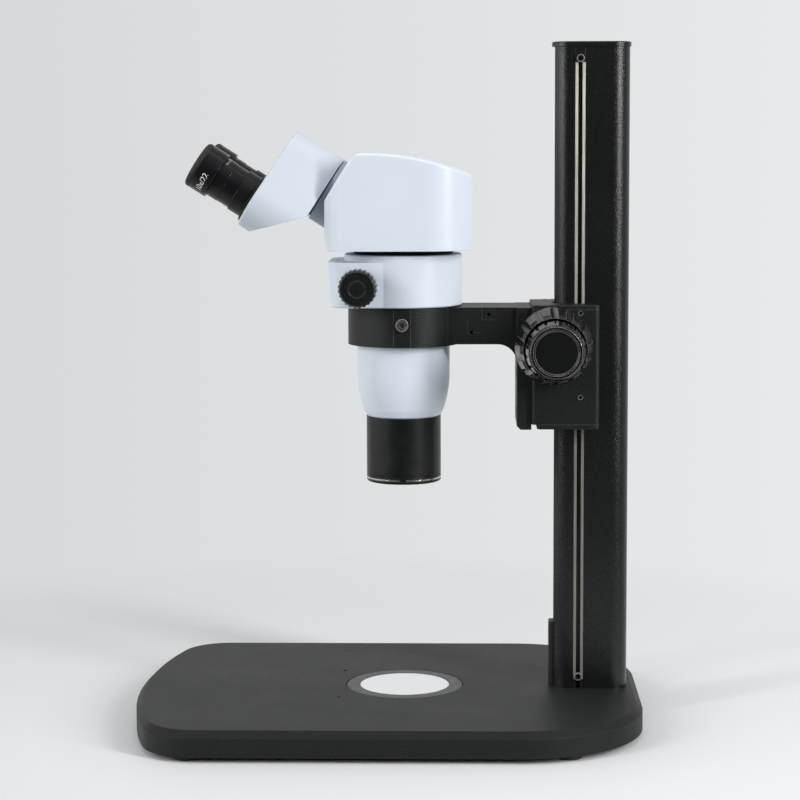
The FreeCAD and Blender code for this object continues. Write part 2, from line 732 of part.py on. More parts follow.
def arm_screws():
    screws = []
    for x, z in arm_screw_places():
        head = rod_y(x, PLATE_FRONT + 0.5, PLATE_FRONT + 5.5, z, 4.25)
        shank = rod_y(x, PLATE_FRONT + 5.5, HOUSING_FRONT, z, 2.5)
        socket = rod_y(x, PLATE_FRONT + 0.5, PLATE_FRONT + 3.0, z, 2.1)
        screws.append(fused([head, shank]).cut(socket))
    return group(screws)


def clamp_screw():
    """Short screw in the side of the ring that holds the pod where it is turned to."""
    return socket_screw_x(BARREL_RADIUS + 0.3, FLAT_X - 2.3, FLAT_X + 2.4, OPTICAL_Y, CLAMP_Z, 2.5,
                          CLAMP_RADIUS, 2.3)


def pinion_shaft():
    """Hollow shaft, thin where it crosses the column's front, with the pinion at its middle."""
    end = KNOB_WELL_X - 2.0
    neck = 15.2
    profile = [(FINE_SHAFT_RADIUS + 0.08, -end), (JOURNAL_RADIUS, -end), (JOURNAL_RADIUS, -neck),
               (SHAFT_NECK_RADIUS, -neck), (SHAFT_NECK_RADIUS, neck), (JOURNAL_RADIUS, neck),
               (JOURNAL_RADIUS, end), (FINE_SHAFT_RADIUS + 0.08, end)]
    shaft = turned_x(profile, PINION_Y, PINION_Z)
    wheel = gear(PINION_TEETH, GEAR_MODULE, -PINION_HALF_WIDTH, PINION_HALF_WIDTH,
                 math.pi / PINION_TEETH)
    wheel.translate(VECTOR(0, PINION_Y, PINION_Z))
    bore = rod_x(-PINION_HALF_WIDTH, PINION_HALF_WIDTH, PINION_Y, PINION_Z, FINE_SHAFT_RADIUS + 0.08)
    return fused([shaft, wheel.cut(bore)])


def fluted(body, count, y, z, radius, reach, x_mid, length, lean, turn0=0.0):
    """Cut straight hollows round a knob. They lean in by the given angle towards +X."""
    tools = []
    for index in range(count):
        cutter = Part.makeCylinder(radius, length, VECTOR(-length / 2.0, 0, 0), AXIS_X)
        cutter.rotate(VECTOR(0, 0, 0), AXIS_Y, lean)
        cutter.translate(VECTOR(x_mid, 0, reach))
        cutter.rotate(VECTOR(0, 0, 0), AXIS_X, turn0 + 360.0 * index / count)
        cutter.translate(VECTOR(0, y, z))
        tools.append(cutter)
    return body.cut(tools)


def coarse_knob():
    """Grip with wide flutes, a plain shoulder and a well for the fine knob."""
    profile = [(JOURNAL_RADIUS, COARSE_BACK_X), (13.0, COARSE_BACK_X), (13.0, 41.5), (29.0, 41.5),
               (COARSE_RADIUS - 0.8, 42.6), (COARSE_RADIUS, 44.6), (COARSE_RADIUS, COARSE_WIDEST_X),
               (COARSE_SHOULDER_RADIUS + 0.7, COARSE_SHOULDER_X - 1.2),
               (COARSE_SHOULDER_RADIUS, COARSE_SHOULDER_X),
               (COARSE_FACE_RADIUS + 0.3, COARSE_SHOULDER_X + 0.5),
               (COARSE_FACE_RADIUS, COARSE_FACE_X - 0.5), (COARSE_FACE_RADIUS - 0.5, COARSE_FACE_X),
               (KNOB_WELL_RADIUS, COARSE_FACE_X), (KNOB_WELL_RADIUS, KNOB_WELL_X),
               (FINE_SHAFT_RADIUS + 0.4, KNOB_WELL_X), (FINE_SHAFT_RADIUS + 0.4, KNOB_WELL_X - 2),
               (JOURNAL_RADIUS, KNOB_WELL_X - 2)]
    knob = turned_x(profile, PINION_Y, PINION_Z)
    lean = math.degrees(math.atan2(COARSE_RADIUS - COARSE_SHOULDER_RADIUS,
                                   COARSE_SHOULDER_X - COARSE_WIDEST_X))
    mid_x = (COARSE_WIDEST_X + COARSE_SHOULDER_X) / 2.0
    mid_r = (COARSE_RADIUS + COARSE_SHOULDER_RADIUS) / 2.0
    flute_axis = mid_r + FLUTE_RADIUS - FLUTE_DEPTH
    return fluted(knob, COARSE_FLUTES, PINION_Y, PINION_Z, FLUTE_RADIUS, flute_axis, mid_x, 60.0, lean, 1.0)


def fine_shaft():
    return rod_x(-FINE_FACE_X + 4, FINE_FACE_X - 4, PINION_Y, PINION_Z, FINE_SHAFT_RADIUS)


def fine_knob():
    """Inner knob: fluted body, tapered nose and a raised rim round a plain disc."""
    start = KNOB_WELL_X + 0.6
    face = FINE_FACE_X
    profile = [(FINE_SHAFT_RADIUS, start), (8.0, start), (8.0, start + 2), (22.8, start + 2),
               (FINE_RADIUS, start + 3), (FINE_RADIUS, FINE_SHOULDER_X), (FINE_FACE_RADIUS + 0.9, face - 2.4),
               (FINE_FACE_RADIUS, face - 0.9), (FINE_FACE_RADIUS - 0.8, face), (FINE_DISC_RADIUS + 1.4, face),
               (FINE_DISC_RADIUS, face - 1.2), (0, face - 1.2), (0, face - 4), (FINE_SHAFT_RADIUS, face - 4)]
    knob = turned_x(profile, PINION_Y, PINION_Z)
    return fluted(knob, FINE_FLUTES, PINION_Y, PINION_Z, 1.8, FINE_RADIUS + 1.0, FINE_SHOULDER_X - 6.0, 34.0,
                  4.0)


# ---------------------------------------------------------------- microscope pod

def body_form(inset, z0, z1, boss_top):
    """Round zoom body with the square-shouldered boss in front."""
    drum = rod_z(0, OPTICAL_Y, z0, z1, BODY_RADIUS - inset)
    half = BOSS_HALF_WIDTH - inset
    plan = rounded_block(-half, half, BOSS_FRONT + inset, OPTICAL_Y + 20, z0, boss_top, BOSS_CORNER - inset)
    side = polygon_yz([(BOSS_FRONT + inset, boss_top), (BOSS_FRONT_FOOT + inset, z0), (OPTICAL_Y, z0),
                       (OPTICAL_Y, boss_top)], -half, half)
    return drum, plan.common(side)


def zoom_housing():
    drum, boss = body_form(0, BODY_BOTTOM, BODY_TOP, BOSS_TOP)
    outer = fused([drum, boss])
    edges = level_edges(outer, BODY_TOP) + level_edges(outer, BODY_BOTTOM)
    outer = outer.makeFillet(1.5, edges)
    floor = BODY_BOTTOM + BODY_WALL
    drum, boss = body_form(BODY_WALL, floor, BODY_TOP - BODY_WALL, BOSS_TOP - BODY_WALL)
    tools = [drum, boss]
    tools.append(rod_z(0, OPTICAL_Y, BODY_BOTTOM, floor, BARREL_RADIUS - BARREL_WALL))
    tools.append(rod_z(0, OPTICAL_Y, BODY_TOP - BODY_WALL, BODY_TOP, 26.0))
    tools.append(rod_x(-60, 60, ZOOM_Y, ZOOM_Z, ZOOM_SHAFT_RADIUS + RUNNING_GAP))
    return without(outer, tools)


def barrel_curve(inset):
    """Outside or inside line of the barrel, from its foot to its top."""
    drop = BARREL_TAPER_TOP - BARREL_BOTTOM
    points = []
    for step in range(7):
        z = BARREL_BOTTOM + drop * step / 6.0
        sag = BARREL_ARC - math.sqrt(BARREL_ARC ** 2 - (BARREL_TAPER_TOP - z) ** 2)
        points.append((BARREL_RADIUS - sag - inset, z))
    return points


def zoom_barrel():
    """Slim white barrel that turns in the ring, with the seat of the guide rods inside."""
    outer = barrel_curve(0)
    foot = (outer[0][0] - 1.2, BARREL_BOTTOM)
    outer[0] = (outer[0][0], BARREL_BOTTOM + 1.2)
    profile = [(24.0, BARREL_BOTTOM), foot] + outer + [(BARREL_RADIUS, BODY_BOTTOM)]
    inner = [point for point in barrel_curve(BARREL_WALL) if point[1] > ROD_BOTTOM]
    profile += [(BARREL_RADIUS - BARREL_WALL, BODY_BOTTOM)] + list(reversed(inner))
    profile += [(inner[0][0], ROD_BOTTOM + 2), (24.0, ROD_BOTTOM + 2)]
    shell = turned_z(profile, 0, OPTICAL_Y)
    seat = rod_z(0, OPTICAL_Y, ROD_BOTTOM - 4, ROD_BOTTOM + 2, 24.0)
    body = fused([shell, seat])
    tools = []
    for side in (1, -1):
        tools.append(rod_z(side * CHANNEL_X, OPTICAL_Y, ROD_BOTTOM - 5, ROD_BOTTOM + 3,
                           CHANNEL_LENS_RADIUS))
        tools.append(rod_z(side * ROD_X, OPTICAL_Y, ROD_BOTTOM, ROD_BOTTOM + 3, ROD_RADIUS))
    return without(body, tools)


def objective_cell():
    """Black cell with a fine groove and a seat for the bright ring."""
    r = OBJECTIVE_RADIUS
    profile = [(24.5, OBJECTIVE_BOTTOM + 3), (27.5, OBJECTIVE_BOTTOM), (r - 0.8, OBJECTIVE_BOTTOM),
               (r, OBJECTIVE_BOTTOM + 1), (r, BAND_Z - BAND_HALF_HEIGHT),
               (r - 0.6, BAND_Z - BAND_HALF_HEIGHT),
               (r - 0.6, BAND_Z + BAND_HALF_HEIGHT), (r, BAND_Z + BAND_HALF_HEIGHT), (r, GROOVE_Z - 0.5),
               (r - 0.5, GROOVE_Z), (r, GROOVE_Z + 0.5), (r, BARREL_BOTTOM), (24.0, BARREL_BOTTOM),
               (24.0, OBJECTIVE_BOTTOM + 26), (24.5, OBJECTIVE_BOTTOM + 26)]
    return turned_z(profile, 0, OPTICAL_Y)


def objective_ring():
    """Bright ring with a short gap on the user's right."""
    r = OBJECTIVE_RADIUS
    gap = math.degrees(2.5 / r)
    profile = [(r - 0.6, BAND_Z - BAND_HALF_HEIGHT), (r + 0.1, BAND_Z - BAND_HALF_HEIGHT),
               (r + 0.1, BAND_Z + BAND_HALF_HEIGHT), (r - 0.6, BAND_Z + BAND_HALF_HEIGHT)]
    ring = turned(profile, gap, 360.0 - 2 * gap)
    ring.translate(VECTOR(0, OPTICAL_Y, 0))
    return ring


def lens(x, y, z0, z1, radius, crown):
    """Lens with a cylindrical rim and a domed face at each end."""
    profile = [(0, z0 - crown)]
    for step in range(1, 4):
        r = radius * step / 3.0
        profile.append((r, z0 - crown * (1.0 - (r / radius) ** 2)))
    for step in range(3, 0, -1):
        r = radius * step / 3.0
        profile.append((r, z1 + crown * (1.0 - (r / radius) ** 2)))
    profile.append((0, z1 + crown))
    return turned_z(profile, x, y)


def objective_lens():
    return lens(0, OPTICAL_Y, OBJECTIVE_BOTTOM + 8, OBJECTIVE_BOTTOM + 18, 24.5, 3.0)


def dovetail_ring():
    """Round dovetail between the zoom body and the head."""
    profile = [(26.0, BODY_TOP), (DOVETAIL_RADIUS - 2.0, BODY_TOP), (DOVETAIL_RADIUS, BODY_TOP + 2.2),
               (DOVETAIL_RADIUS, DOVETAIL_TOP), (26.0, DOVETAIL_TOP)]
    return turned_z(profile, 0, OPTICAL_Y)


def guide_rods():
    rod = rod_z(ROD_X, OPTICAL_Y, ROD_BOTTOM, BODY_TOP - BODY_WALL, ROD_RADIUS)
    return group(both_sides(rod))


def carrier(z, bar_x0, bar_x1, teeth, rack_teeth):
    """Lens carrier: a plate on the guide rods with a rack that stands up behind the pinion."""
    plate = rounded_block(-32.5, 32.5, OPTICAL_Y - 13, OPTICAL_Y + 13, z, z + CARRIER_THICKNESS, 10.0)
    radius = pinion_radius(teeth)
    pitch_y = ZOOM_Y + radius
    pitch = math.pi * GEAR_MODULE
    first = ZOOM_Z - (rack_teeth - 2) * pitch
    bar = polygon_yz(rack_outline(pitch_y, pitch_y + 5.0, GEAR_MODULE, rack_teeth, first, z,
                                  first + (rack_teeth - 0.5) * pitch), bar_x0, bar_x1)
    link = block(bar_x0, bar_x1, pitch_y + 2.0, OPTICAL_Y - 12, z, z + CARRIER_THICKNESS)
    body = fused([plate, bar, link])
    tools = []
    for side in (1, -1):
        tools.append(rod_z(side * CHANNEL_X, OPTICAL_Y, z, z + CARRIER_THICKNESS, CHANNEL_LENS_RADIUS))
        tools.append(rod_z(side * ROD_X, OPTICAL_Y, z, z + CARRIER_THICKNESS, ROD_RADIUS + RUNNING_GAP))
    return without(body, tools)


def upper_carrier():
    return carrier(UPPER_CARRIER_Z, 1.6, 8.4, UPPER_PINION_TEETH, 8)


def lower_carrier():
    return carrier(LOWER_CARRIER_Z, -8.4, -1.6, LOWER_PINION_TEETH, 6)


def carrier_lenses(z):
    right = lens(CHANNEL_X, OPTICAL_Y, z + 1.5, z + CARRIER_THICKNESS - 1.5, CHANNEL_LENS_RADIUS, 1.2)
    return group(both_sides(right))


def zoom_shaft():
    return rod_x(-ZOOM_KNOB_FACE_X + 5, ZOOM_KNOB_FACE_X - 5, ZOOM_Y, ZOOM_Z, ZOOM_SHAFT_RADIUS)


def zoom_pinions():
    """Two pinions side by side on the zoom shaft, one for each lens carrier."""
    bore = rod_x(-10, 10, 0, 0, ZOOM_SHAFT_RADIUS)
    wheels = []
    for teeth, x0, x1 in ((UPPER_PINION_TEETH, 1.8, 8.2), (LOWER_PINION_TEETH, -8.2, -1.8)):
        wheel = gear(teeth, GEAR_MODULE, x0, x1, math.pi / teeth).cut(bore)
        wheel.translate(VECTOR(0, ZOOM_Y, ZOOM_Z))
        wheels.append(wheel)
    return group(wheels)


def zoom_knob():
    face = ZOOM_KNOB_FACE_X
    r = ZOOM_KNOB_RADIUS
    back = BOSS_HALF_WIDTH + 0.5
    profile = [(ZOOM_SHAFT_RADIUS, back), (9.5, back), (9.5, back + 3), (r - 0.8, back + 3), (r, back + 4),
               (r, face - 4.0), (r - 1.9, face), (7.0, face), (6.6, face - 0.7), (6.2, face), (0, face),
               (0, face - 5), (ZOOM_SHAFT_RADIUS, face - 5)]
    knob = turned_x(profile, ZOOM_Y, ZOOM_Z)
    return fluted(knob, ZOOM_FLUTES, ZOOM_Y, ZOOM_Z, 1.6, r + 0.7, 58.0, 40.0, 0.0)


# ---------------------------------------------------------------- head

def head_side(inset, bottom):
    """Side outline of the head: upright front, slanted brow, gently falling roof."""
    x0 = -HEAD_HALF_WIDTH - 1
    front_foot = VECTOR(x0, -46.0 + inset, bottom)
    front_low = VECTOR(x0, -48.6 + inset, 405.0)
    front_high = VECTOR(x0, -48.6 + inset, 428.7 - inset * 0.3)
    brow = VECTOR(x0, -27.6 + inset * 0.75, 462.3 - inset)
    roof_start = VECTOR(x0, -19.0 + inset * 0.3, 467.1 - inset)
    roof_middle = VECTOR(x0, 26.0, 463.0 - inset)
    roof_end = VECTOR(x0, 69.4 - inset, 448.9 - inset)
    rear_foot = VECTOR(x0, 71.4 - inset, bottom)
    edges = [line(front_foot, front_low), line(front_low, front_high), line(front_high, brow),
             arc(brow, brow + (roof_start - brow) * 0.5 + VECTOR(0, -0.9, 1.1), roof_start),
             arc(roof_start, roof_middle, roof_end), line(roof_end, rear_foot), line(rear_foot, front_foot)]
    return joined_face(edges).extrude(VECTOR(2 * HEAD_HALF_WIDTH + 2, 0, 0))


def head_plan(inset, bottom, top):
    half = HEAD_HALF_WIDTH - inset
    front = -48.6 + inset
    back = 71.4 - inset
    rf = HEAD_FRONT_RADIUS - inset * 0.6
    rr = HEAD_REAR_RADIUS - inset
    edges = [
        corner_arc(half - rr, back - rr, bottom, rr, 0, 90),
        line(VECTOR(half - rr, back, bottom), VECTOR(rr - half, back, bottom)),
        corner_arc(rr - half, back - rr, bottom, rr, 90, 180),
        line(VECTOR(-half, back - rr, bottom), VECTOR(-half, front + rf, bottom)),
        corner_arc(rf - half, front + rf, bottom, rf, 180, 270),
        line(VECTOR(rf - half, front, bottom), VECTOR(half - rf, front, bottom)),
        corner_arc(half - rf, front + rf, bottom, rf, 270, 360),
        line(VECTOR(half, front + rf, bottom), VECTOR(half, back - rr, bottom)),
    ]
    return joined_face(edges).extrude(VECTOR(0, 0, top - bottom))


def nose_block():
    """Wedge that carries the two tube pivots, square to the eyepieces."""
    nose = rounded_block(-34, 34, NOSE_LOW, 24.0, -24.0, NOSE_FACE, 12.0)
    return tilted(nose)


def head_housing():
    outer = head_side(0, HEAD_BOTTOM).common(head_plan(0, HEAD_BOTTOM, 480))
    roof = [edge for edge in outer.Edges if edge.BoundBox.ZMin > 429 and edge.BoundBox.ZMax > 445
            and edge.BoundBox.XLength < 100]
    outer = outer.makeFillet(2.5, roof)
    inner = head_side(HEAD_WALL, HEAD_BOTTOM - 1).common(head_plan(HEAD_WALL, HEAD_BOTTOM - 1, 480))
    return without(outer, [inner, nose_block()])


def head_base():
    """Plate that closes the head and holds the dovetail and the prisms."""
    plate = head_plan(HEAD_WALL, HEAD_BOTTOM, HEAD_BOTTOM + HEAD_BASE_THICKNESS)
    plate = plate.common(head_side(HEAD_WALL, HEAD_BOTTOM - 1))
    holes = [rod_z(side * CHANNEL_X, OPTICAL_Y, HEAD_BOTTOM, HEAD_BOTTOM + HEAD_BASE_THICKNESS, 11.5)
             for side in (1, -1)]
    return without(plate, holes)


def tube_nose():
    bores = []
    for side in (1, -1):
        bores.append(rod_z(side * PIVOT_X, 0, -30, 10, SLEEVE_RADIUS + RUNNING_GAP))
    tools = [tilted(bore) for bore in bores]
    tools.append(head_plan(HEAD_WALL, HEAD_BOTTOM, HEAD_BOTTOM + HEAD_BASE_THICKNESS))
    return without(nose_block(), tools)


def head_prisms():
    """Glass blocks that turn the light from upright to the eyepieces' tilt."""
    base = HEAD_BOTTOM + HEAD_BASE_THICKNESS
    outline = [(17.5, base + 1.5), (6.2, base + 22.0), (-4.9, base + 4.6), (-3.0, base + 1.5)]
    prism = polygon_yz(outline, CHANNEL_X - 10.0, CHANNEL_X + 10.0)
    return group(both_sides(prism))


# ---------------------------------------------------------------- eyepiece tubes

def tube_form(inset):
    """Tube housing in its own frame: two round ends, cut away at the lower back and inside."""
    radius = TUBE_ROUND - inset
    dx = OUTPUT_X - PIVOT_X
    length = math.hypot(dx, OUTPUT_V)
    nx = -OUTPUT_V / length * radius
    ny = dx / length * radius
    back = TUBE_BACK + inset
    heading = math.degrees(math.atan2(OUTPUT_V, dx))
    edges = [
        line(VECTOR(PIVOT_X + nx, ny, back), VECTOR(OUTPUT_X + nx, OUTPUT_V + ny, back)),
        corner_arc(OUTPUT_X, OUTPUT_V, back, radius, heading + 90, heading - 90),
        line(VECTOR(OUTPUT_X - nx, OUTPUT_V - ny, back), VECTOR(PIVOT_X - nx, -ny, back)),
        corner_arc(PIVOT_X, 0, back, radius, heading - 90, heading - 270),
    ]
    form = joined_face(edges).extrude(VECTOR(0, 0, TUBE_FRONT - inset - back))
    heel = polygon_yz([(HEEL_START + inset, TUBE_BACK), (HEEL_END + inset, HEEL_TOP), (-90.0, HEEL_TOP),
                       (-90.0, TUBE_BACK - 5), (HEEL_START + inset, TUBE_BACK - 5)], -20, 90)
    tools = [heel]
    for swing in (SWING_OUT, -SWING_IN):
        wall = block(-100, -INNER_FACE + inset, -150, 150, -20, 80)
        wall.rotate(VECTOR(0, 0, 0), AXIS_Z, -swing)
        wall.translate(VECTOR(PIVOT_X, 0, 0))
        tools.append(wall)
    return without(form, tools)


def tube_housing():
    outer = tube_form(0)
    front = level_edges(outer, TUBE_FRONT)
    outer = outer.makeFillet(2.0, front)
    tools = [tube_form(TUBE_WALL)]
    tools.append(rod_z(OUTPUT_X, OUTPUT_V, TUBE_FRONT - 12, TUBE_FRONT + 1, EYETUBE_BORE + 1.5))
    sleeve = rod_z(PIVOT_X, 0, TUBE_BACK - SLEEVE_LENGTH, TUBE_BACK + TUBE_WALL, SLEEVE_RADIUS)
    shell = fused([without(outer, tools), sleeve])
    bore = rod_z(PIVOT_X, 0, TUBE_BACK - SLEEVE_LENGTH - 1, TUBE_BACK + TUBE_WALL + 1, SLEEVE_BORE)
    return tilted(shell.cut(bore))


def tube_prism():
    """Rhomboid prism that carries the light from the pivot out to the eyepiece."""
    length = math.hypot(OUTPUT_X - PIVOT_X, OUTPUT_V)
    half = PRISM_HALF
    w0 = PRISM_START
    points = [(-half, w0), (half, w0 + 2 * half), (length + half, w0 + 2 * half), (length - half, w0)]
    prism = polygon_yz(points, -half, half)
    heading = math.degrees(math.atan2(OUTPUT_V, OUTPUT_X - PIVOT_X))
    prism.rotate(VECTOR(0, 0, 0), AXIS_Z, heading - 90)
    prism.translate(VECTOR(PIVOT_X, 0, 0))
    return tilted(prism)


def at_output(profile):
    """Turned piece on the eyepiece's axis, in its place."""
    return tilted(turned_z(profile, OUTPUT_X, OUTPUT_V))


def eyetube():
    """Flange and collar that the eyepiece slides into."""
    top = TUBE_FRONT + FLANGE_THICKNESS
    return at_output([(EYETUBE_BORE, TUBE_FRONT - 10), (EYETUBE_BORE + 1.5, TUBE_FRONT - 10),
                      (EYETUBE_BORE + 1.5, TUBE_FRONT), (FLANGE_RADIUS, TUBE_FRONT),
                      (FLANGE_RADIUS, top - 0.4), (FLANGE_RADIUS - 0.4, top), (COLLAR_RADIUS, top),
                      (COLLAR_RADIUS, COLLAR_END - 0.4), (COLLAR_RADIUS - 0.4, COLLAR_END),
                      (EYETUBE_BORE, COLLAR_END)])


def eyepiece():
    """Fixed lower part of the eyepiece: push-in tube and waist, with a sleeve for the ring."""
    inner = 12.6
    return at_output([(inner, TUBE_FRONT - 8), (EYEPIECE_RADIUS, TUBE_FRONT - 8),
                      (EYEPIECE_RADIUS, COLLAR_END),
                      (LOWER_WAIST_RADIUS - 0.3, COLLAR_END), (LOWER_WAIST_RADIUS, COLLAR_END + 0.3),
                      (LOWER_WAIST_RADIUS, WAIST_LINE - 0.2), (LOWER_WAIST_RADIUS - 0.3, WAIST_LINE),
                      (WAIST_RADIUS - 0.2, WAIST_LINE), (WAIST_RADIUS, WAIST_LINE + 0.3),
                      (WAIST_RADIUS, WAIST_END), (EYEPIECE_RADIUS, WAIST_END),
                      (EYEPIECE_RADIUS, GRIP_END - 6), (inner, GRIP_END - 6)])


def dioptre_ring():
    """Grip that turns on the eyepiece and carries the eye lens and eyecup."""
    bore = EYEPIECE_RADIUS + RUNNING_GAP
    start = WAIST_END + 0.3
    return at_output([(bore, start), (GRIP_RADIUS - 0.5, start), (GRIP_RADIUS, start + 0.5),
                      (GRIP_RADIUS, GRIP_END), (12.0, GRIP_END), (12.0, GRIP_END - 4), (bore, GRIP_END - 4)])


def eye_lens():
    glass = lens(OUTPUT_X, OUTPUT_V, GRIP_END - 3.2, GRIP_END - 0.4, 12.0, 1.4)
    return tilted(glass)


def eyecup():
    """Soft cup with a rolled rim and a conical mouth."""
    return at_output([(12.0, GRIP_END), (GRIP_RADIUS - 0.3, GRIP_END), (GRIP_RADIUS, GRIP_END + 0.3),
                      (GRIP_RADIUS, EYECUP_END - 2.6), (GRIP_RADIUS - 0.5, EYECUP_END - 1.2),
                      (GRIP_RADIUS - 1.5, EYECUP_END - 0.3), (GRIP_RADIUS - 2.7, EYECUP_END),
                      (GRIP_RADIUS - 3.9, EYECUP_END - 0.4), (12.6, GRIP_END + 1.4)])


def write_parts():
    os.makedirs("parts", exist_ok=True)
    single = {
        "base_plate": base_plate, "base_feet": base_feet, "stage_ring": stage_ring,
        "stage_plate": stage_plate, "column_profile": column_profile, "column_rails": column_rails,
        "rail_screws": rail_screws, "column_cap": column_cap, "column_bolts": column_bolts,
        "travel_stop": travel_stop, "gear_rack": gear_rack, "focus_housing": focus_housing,
        "top_cover": top_cover, "bottom_cover": bottom_cover, "guide_shoes": guide_shoes,
        "guide_screws": guide_screws, "pinion_bushes": pinion_bushes, "focus_arm": focus_arm,
        "arm_screws": arm_screws, "clamp_screw": clamp_screw, "pinion_shaft": pinion_shaft,
        "fine_shaft": fine_shaft, "zoom_housing": zoom_housing, "zoom_barrel": zoom_barrel,
        "objective_cell": objective_cell, "objective_ring": objective_ring,
        "objective_lens": objective_lens, "dovetail_ring": dovetail_ring, "guide_rods": guide_rods,
        "upper_carrier": upper_carrier, "lower_carrier": lower_carrier, "zoom_shaft": zoom_shaft,
        "zoom_pinions": zoom_pinions, "head_housing": head_housing, "head_base": head_base,
        "tube_nose": tube_nose, "head_prisms": head_prisms,
    }
    paired = {
        "coarse_knob": coarse_knob, "fine_knob": fine_knob, "zoom_knob": zoom_knob,
        "tube_housing": tube_housing, "tube_prism": tube_prism, "eyetube": eyetube,
        "eyepiece": eyepiece, "dioptre_ring": dioptre_ring, "eye_lens": eye_lens, "eyecup": eyecup,
    }
    for name, make in single.items():
        save(name, make())
    save("upper_lenses", carrier_lenses(UPPER_CARRIER_Z))
    save("lower_lenses", carrier_lenses(LOWER_CARRIER_Z))
    for name, make in paired.items():
        piece = make()
        save("right_" + name, piece)
        save("left_" + name, mirrored(piece))


write_parts()
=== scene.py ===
import json
import math

import bmesh
import bpy
from mathutils import Matrix, Vector


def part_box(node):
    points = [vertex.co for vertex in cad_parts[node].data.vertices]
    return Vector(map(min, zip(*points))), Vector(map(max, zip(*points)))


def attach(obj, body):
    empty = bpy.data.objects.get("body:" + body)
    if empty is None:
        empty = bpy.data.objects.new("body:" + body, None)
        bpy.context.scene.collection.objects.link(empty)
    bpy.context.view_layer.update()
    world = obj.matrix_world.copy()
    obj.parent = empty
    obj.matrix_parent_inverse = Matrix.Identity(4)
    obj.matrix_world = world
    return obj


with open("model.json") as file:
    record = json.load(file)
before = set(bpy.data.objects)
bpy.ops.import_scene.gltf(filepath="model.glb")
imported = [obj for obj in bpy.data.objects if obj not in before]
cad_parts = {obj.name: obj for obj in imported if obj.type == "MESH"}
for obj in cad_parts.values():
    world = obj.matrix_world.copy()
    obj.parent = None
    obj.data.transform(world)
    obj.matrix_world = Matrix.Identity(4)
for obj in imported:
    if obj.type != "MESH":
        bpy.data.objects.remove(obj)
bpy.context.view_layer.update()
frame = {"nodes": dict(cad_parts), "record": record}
nodes = frame["nodes"]

UP = (0.0, 0.0, 1.0)
ACROSS = (1.0, 0.0, 0.0)
SIDES = (("right", 1.0), ("left", -1.0))

# Camera: metres and radians, with lens and sensor in millimetres.
CAMERA_PLACE = (1.81415, 0.06209, 0.47938)
CAMERA_PITCH = 0.1002
CAMERA_YAW = 0.02844
CAMERA_ROLL = 0.0036
CAMERA_LENS = 99.62
CAMERA_SENSOR = 36.0
CAMERA_SHIFT_Y = -0.05
CAMERA_REACH = 20.0

# Room. The floor is whole up to one distance from the middle and has faded out at the next.
FLOOR_RADIUS = 2.4
FLOOR_SOLID = 0.30
FLOOR_GONE = 0.72
FILL_STRENGTH = 1.0
OVERHEAD_START = 0.25
OVERHEAD_FULL = 0.85

# Lamps: name, place, aim, width, height and power in watts.
LAMPS = (
    ("left_light", (1.2, -1.6, 1.0), (0.0, 0.0, 0.3), 0.3, 1.2, 17.0),
    ("right_light", (1.3, 1.66, 1.05), (0.0, 0.1, 0.3), 0.28, 1.2, 41.0),
    ("left_fill", (0.25, -2.0, 0.7), (0.0, 0.0, 0.25), 1.5, 1.4, 9.0),
    ("top_light", (0.1, -0.1, 2.2), (0.0, 0.0, 0.2), 1.5, 1.5, 9.0),
)

# Details, in metres and radians.
GUIDE_SCREW_RADIUS = 0.00198
MARKING_TEXT = "10x/22"
MARKING_HEIGHT = 0.0066
MARKING_TURN = math.radians(-32.0)
PRINT_THICKNESS = 0.00004
CLAMP_HEAD_PROUD = 0.0024
# Radii between which the clamp screw's rim highlight is painted.
CLAMP_RIM_START = 0.0043
CLAMP_RIM_FULL = 0.0048
FLAT_LINE_CORE = 0.00015
FLAT_LINE_END = 0.0004
FLAT_MARGIN = 0.001
# Heights for the rails' painted shade: full below the first, none above the second.
SHADE_FULL_BELOW = 0.26
SHADE_NONE_ABOVE = 0.5
PAINT_LAP = 0.0005
SCALE_TICKS = 9
SCALE_STEP = math.radians(7.0)
SCALE_TURN = math.radians(78.0)
TICK_WIDTH = 0.00025
LONG_TICK = 0.0026
SHORT_TICK = 0.0016
LONG_TICK_EVERY = 4
SCALE_BELOW = 0.0104
INDEX_BELOW = 0.0058
INDEX_WIDTH = TICK_WIDTH * 1.4
INDEX_LENGTH = 0.0018
COVER_THICKNESS = 0.00012
COVER_GAP = 0.0002
COVER_LAP = 0.0004
COVER_EDGE = 0.00015


# ---------------------------------------------------------------- colour

def linear(value):
    value = value / 255.0
    if value <= 0.04045:
        return value / 12.92
    return ((value + 0.055) / 1.055) ** 2.4


def tint(red, green, blue):
    """Colour socket value from 0-255 screen values."""
    return (linear(red), linear(green), linear(blue), 1.0)


def grey(value):
    return (value, value, value, 1.0)


def scaled(colour, factor):
    return tuple(min(1.0, part * factor) for part in colour[:3]) + (1.0,)


# ---------------------------------------------------------------- materials

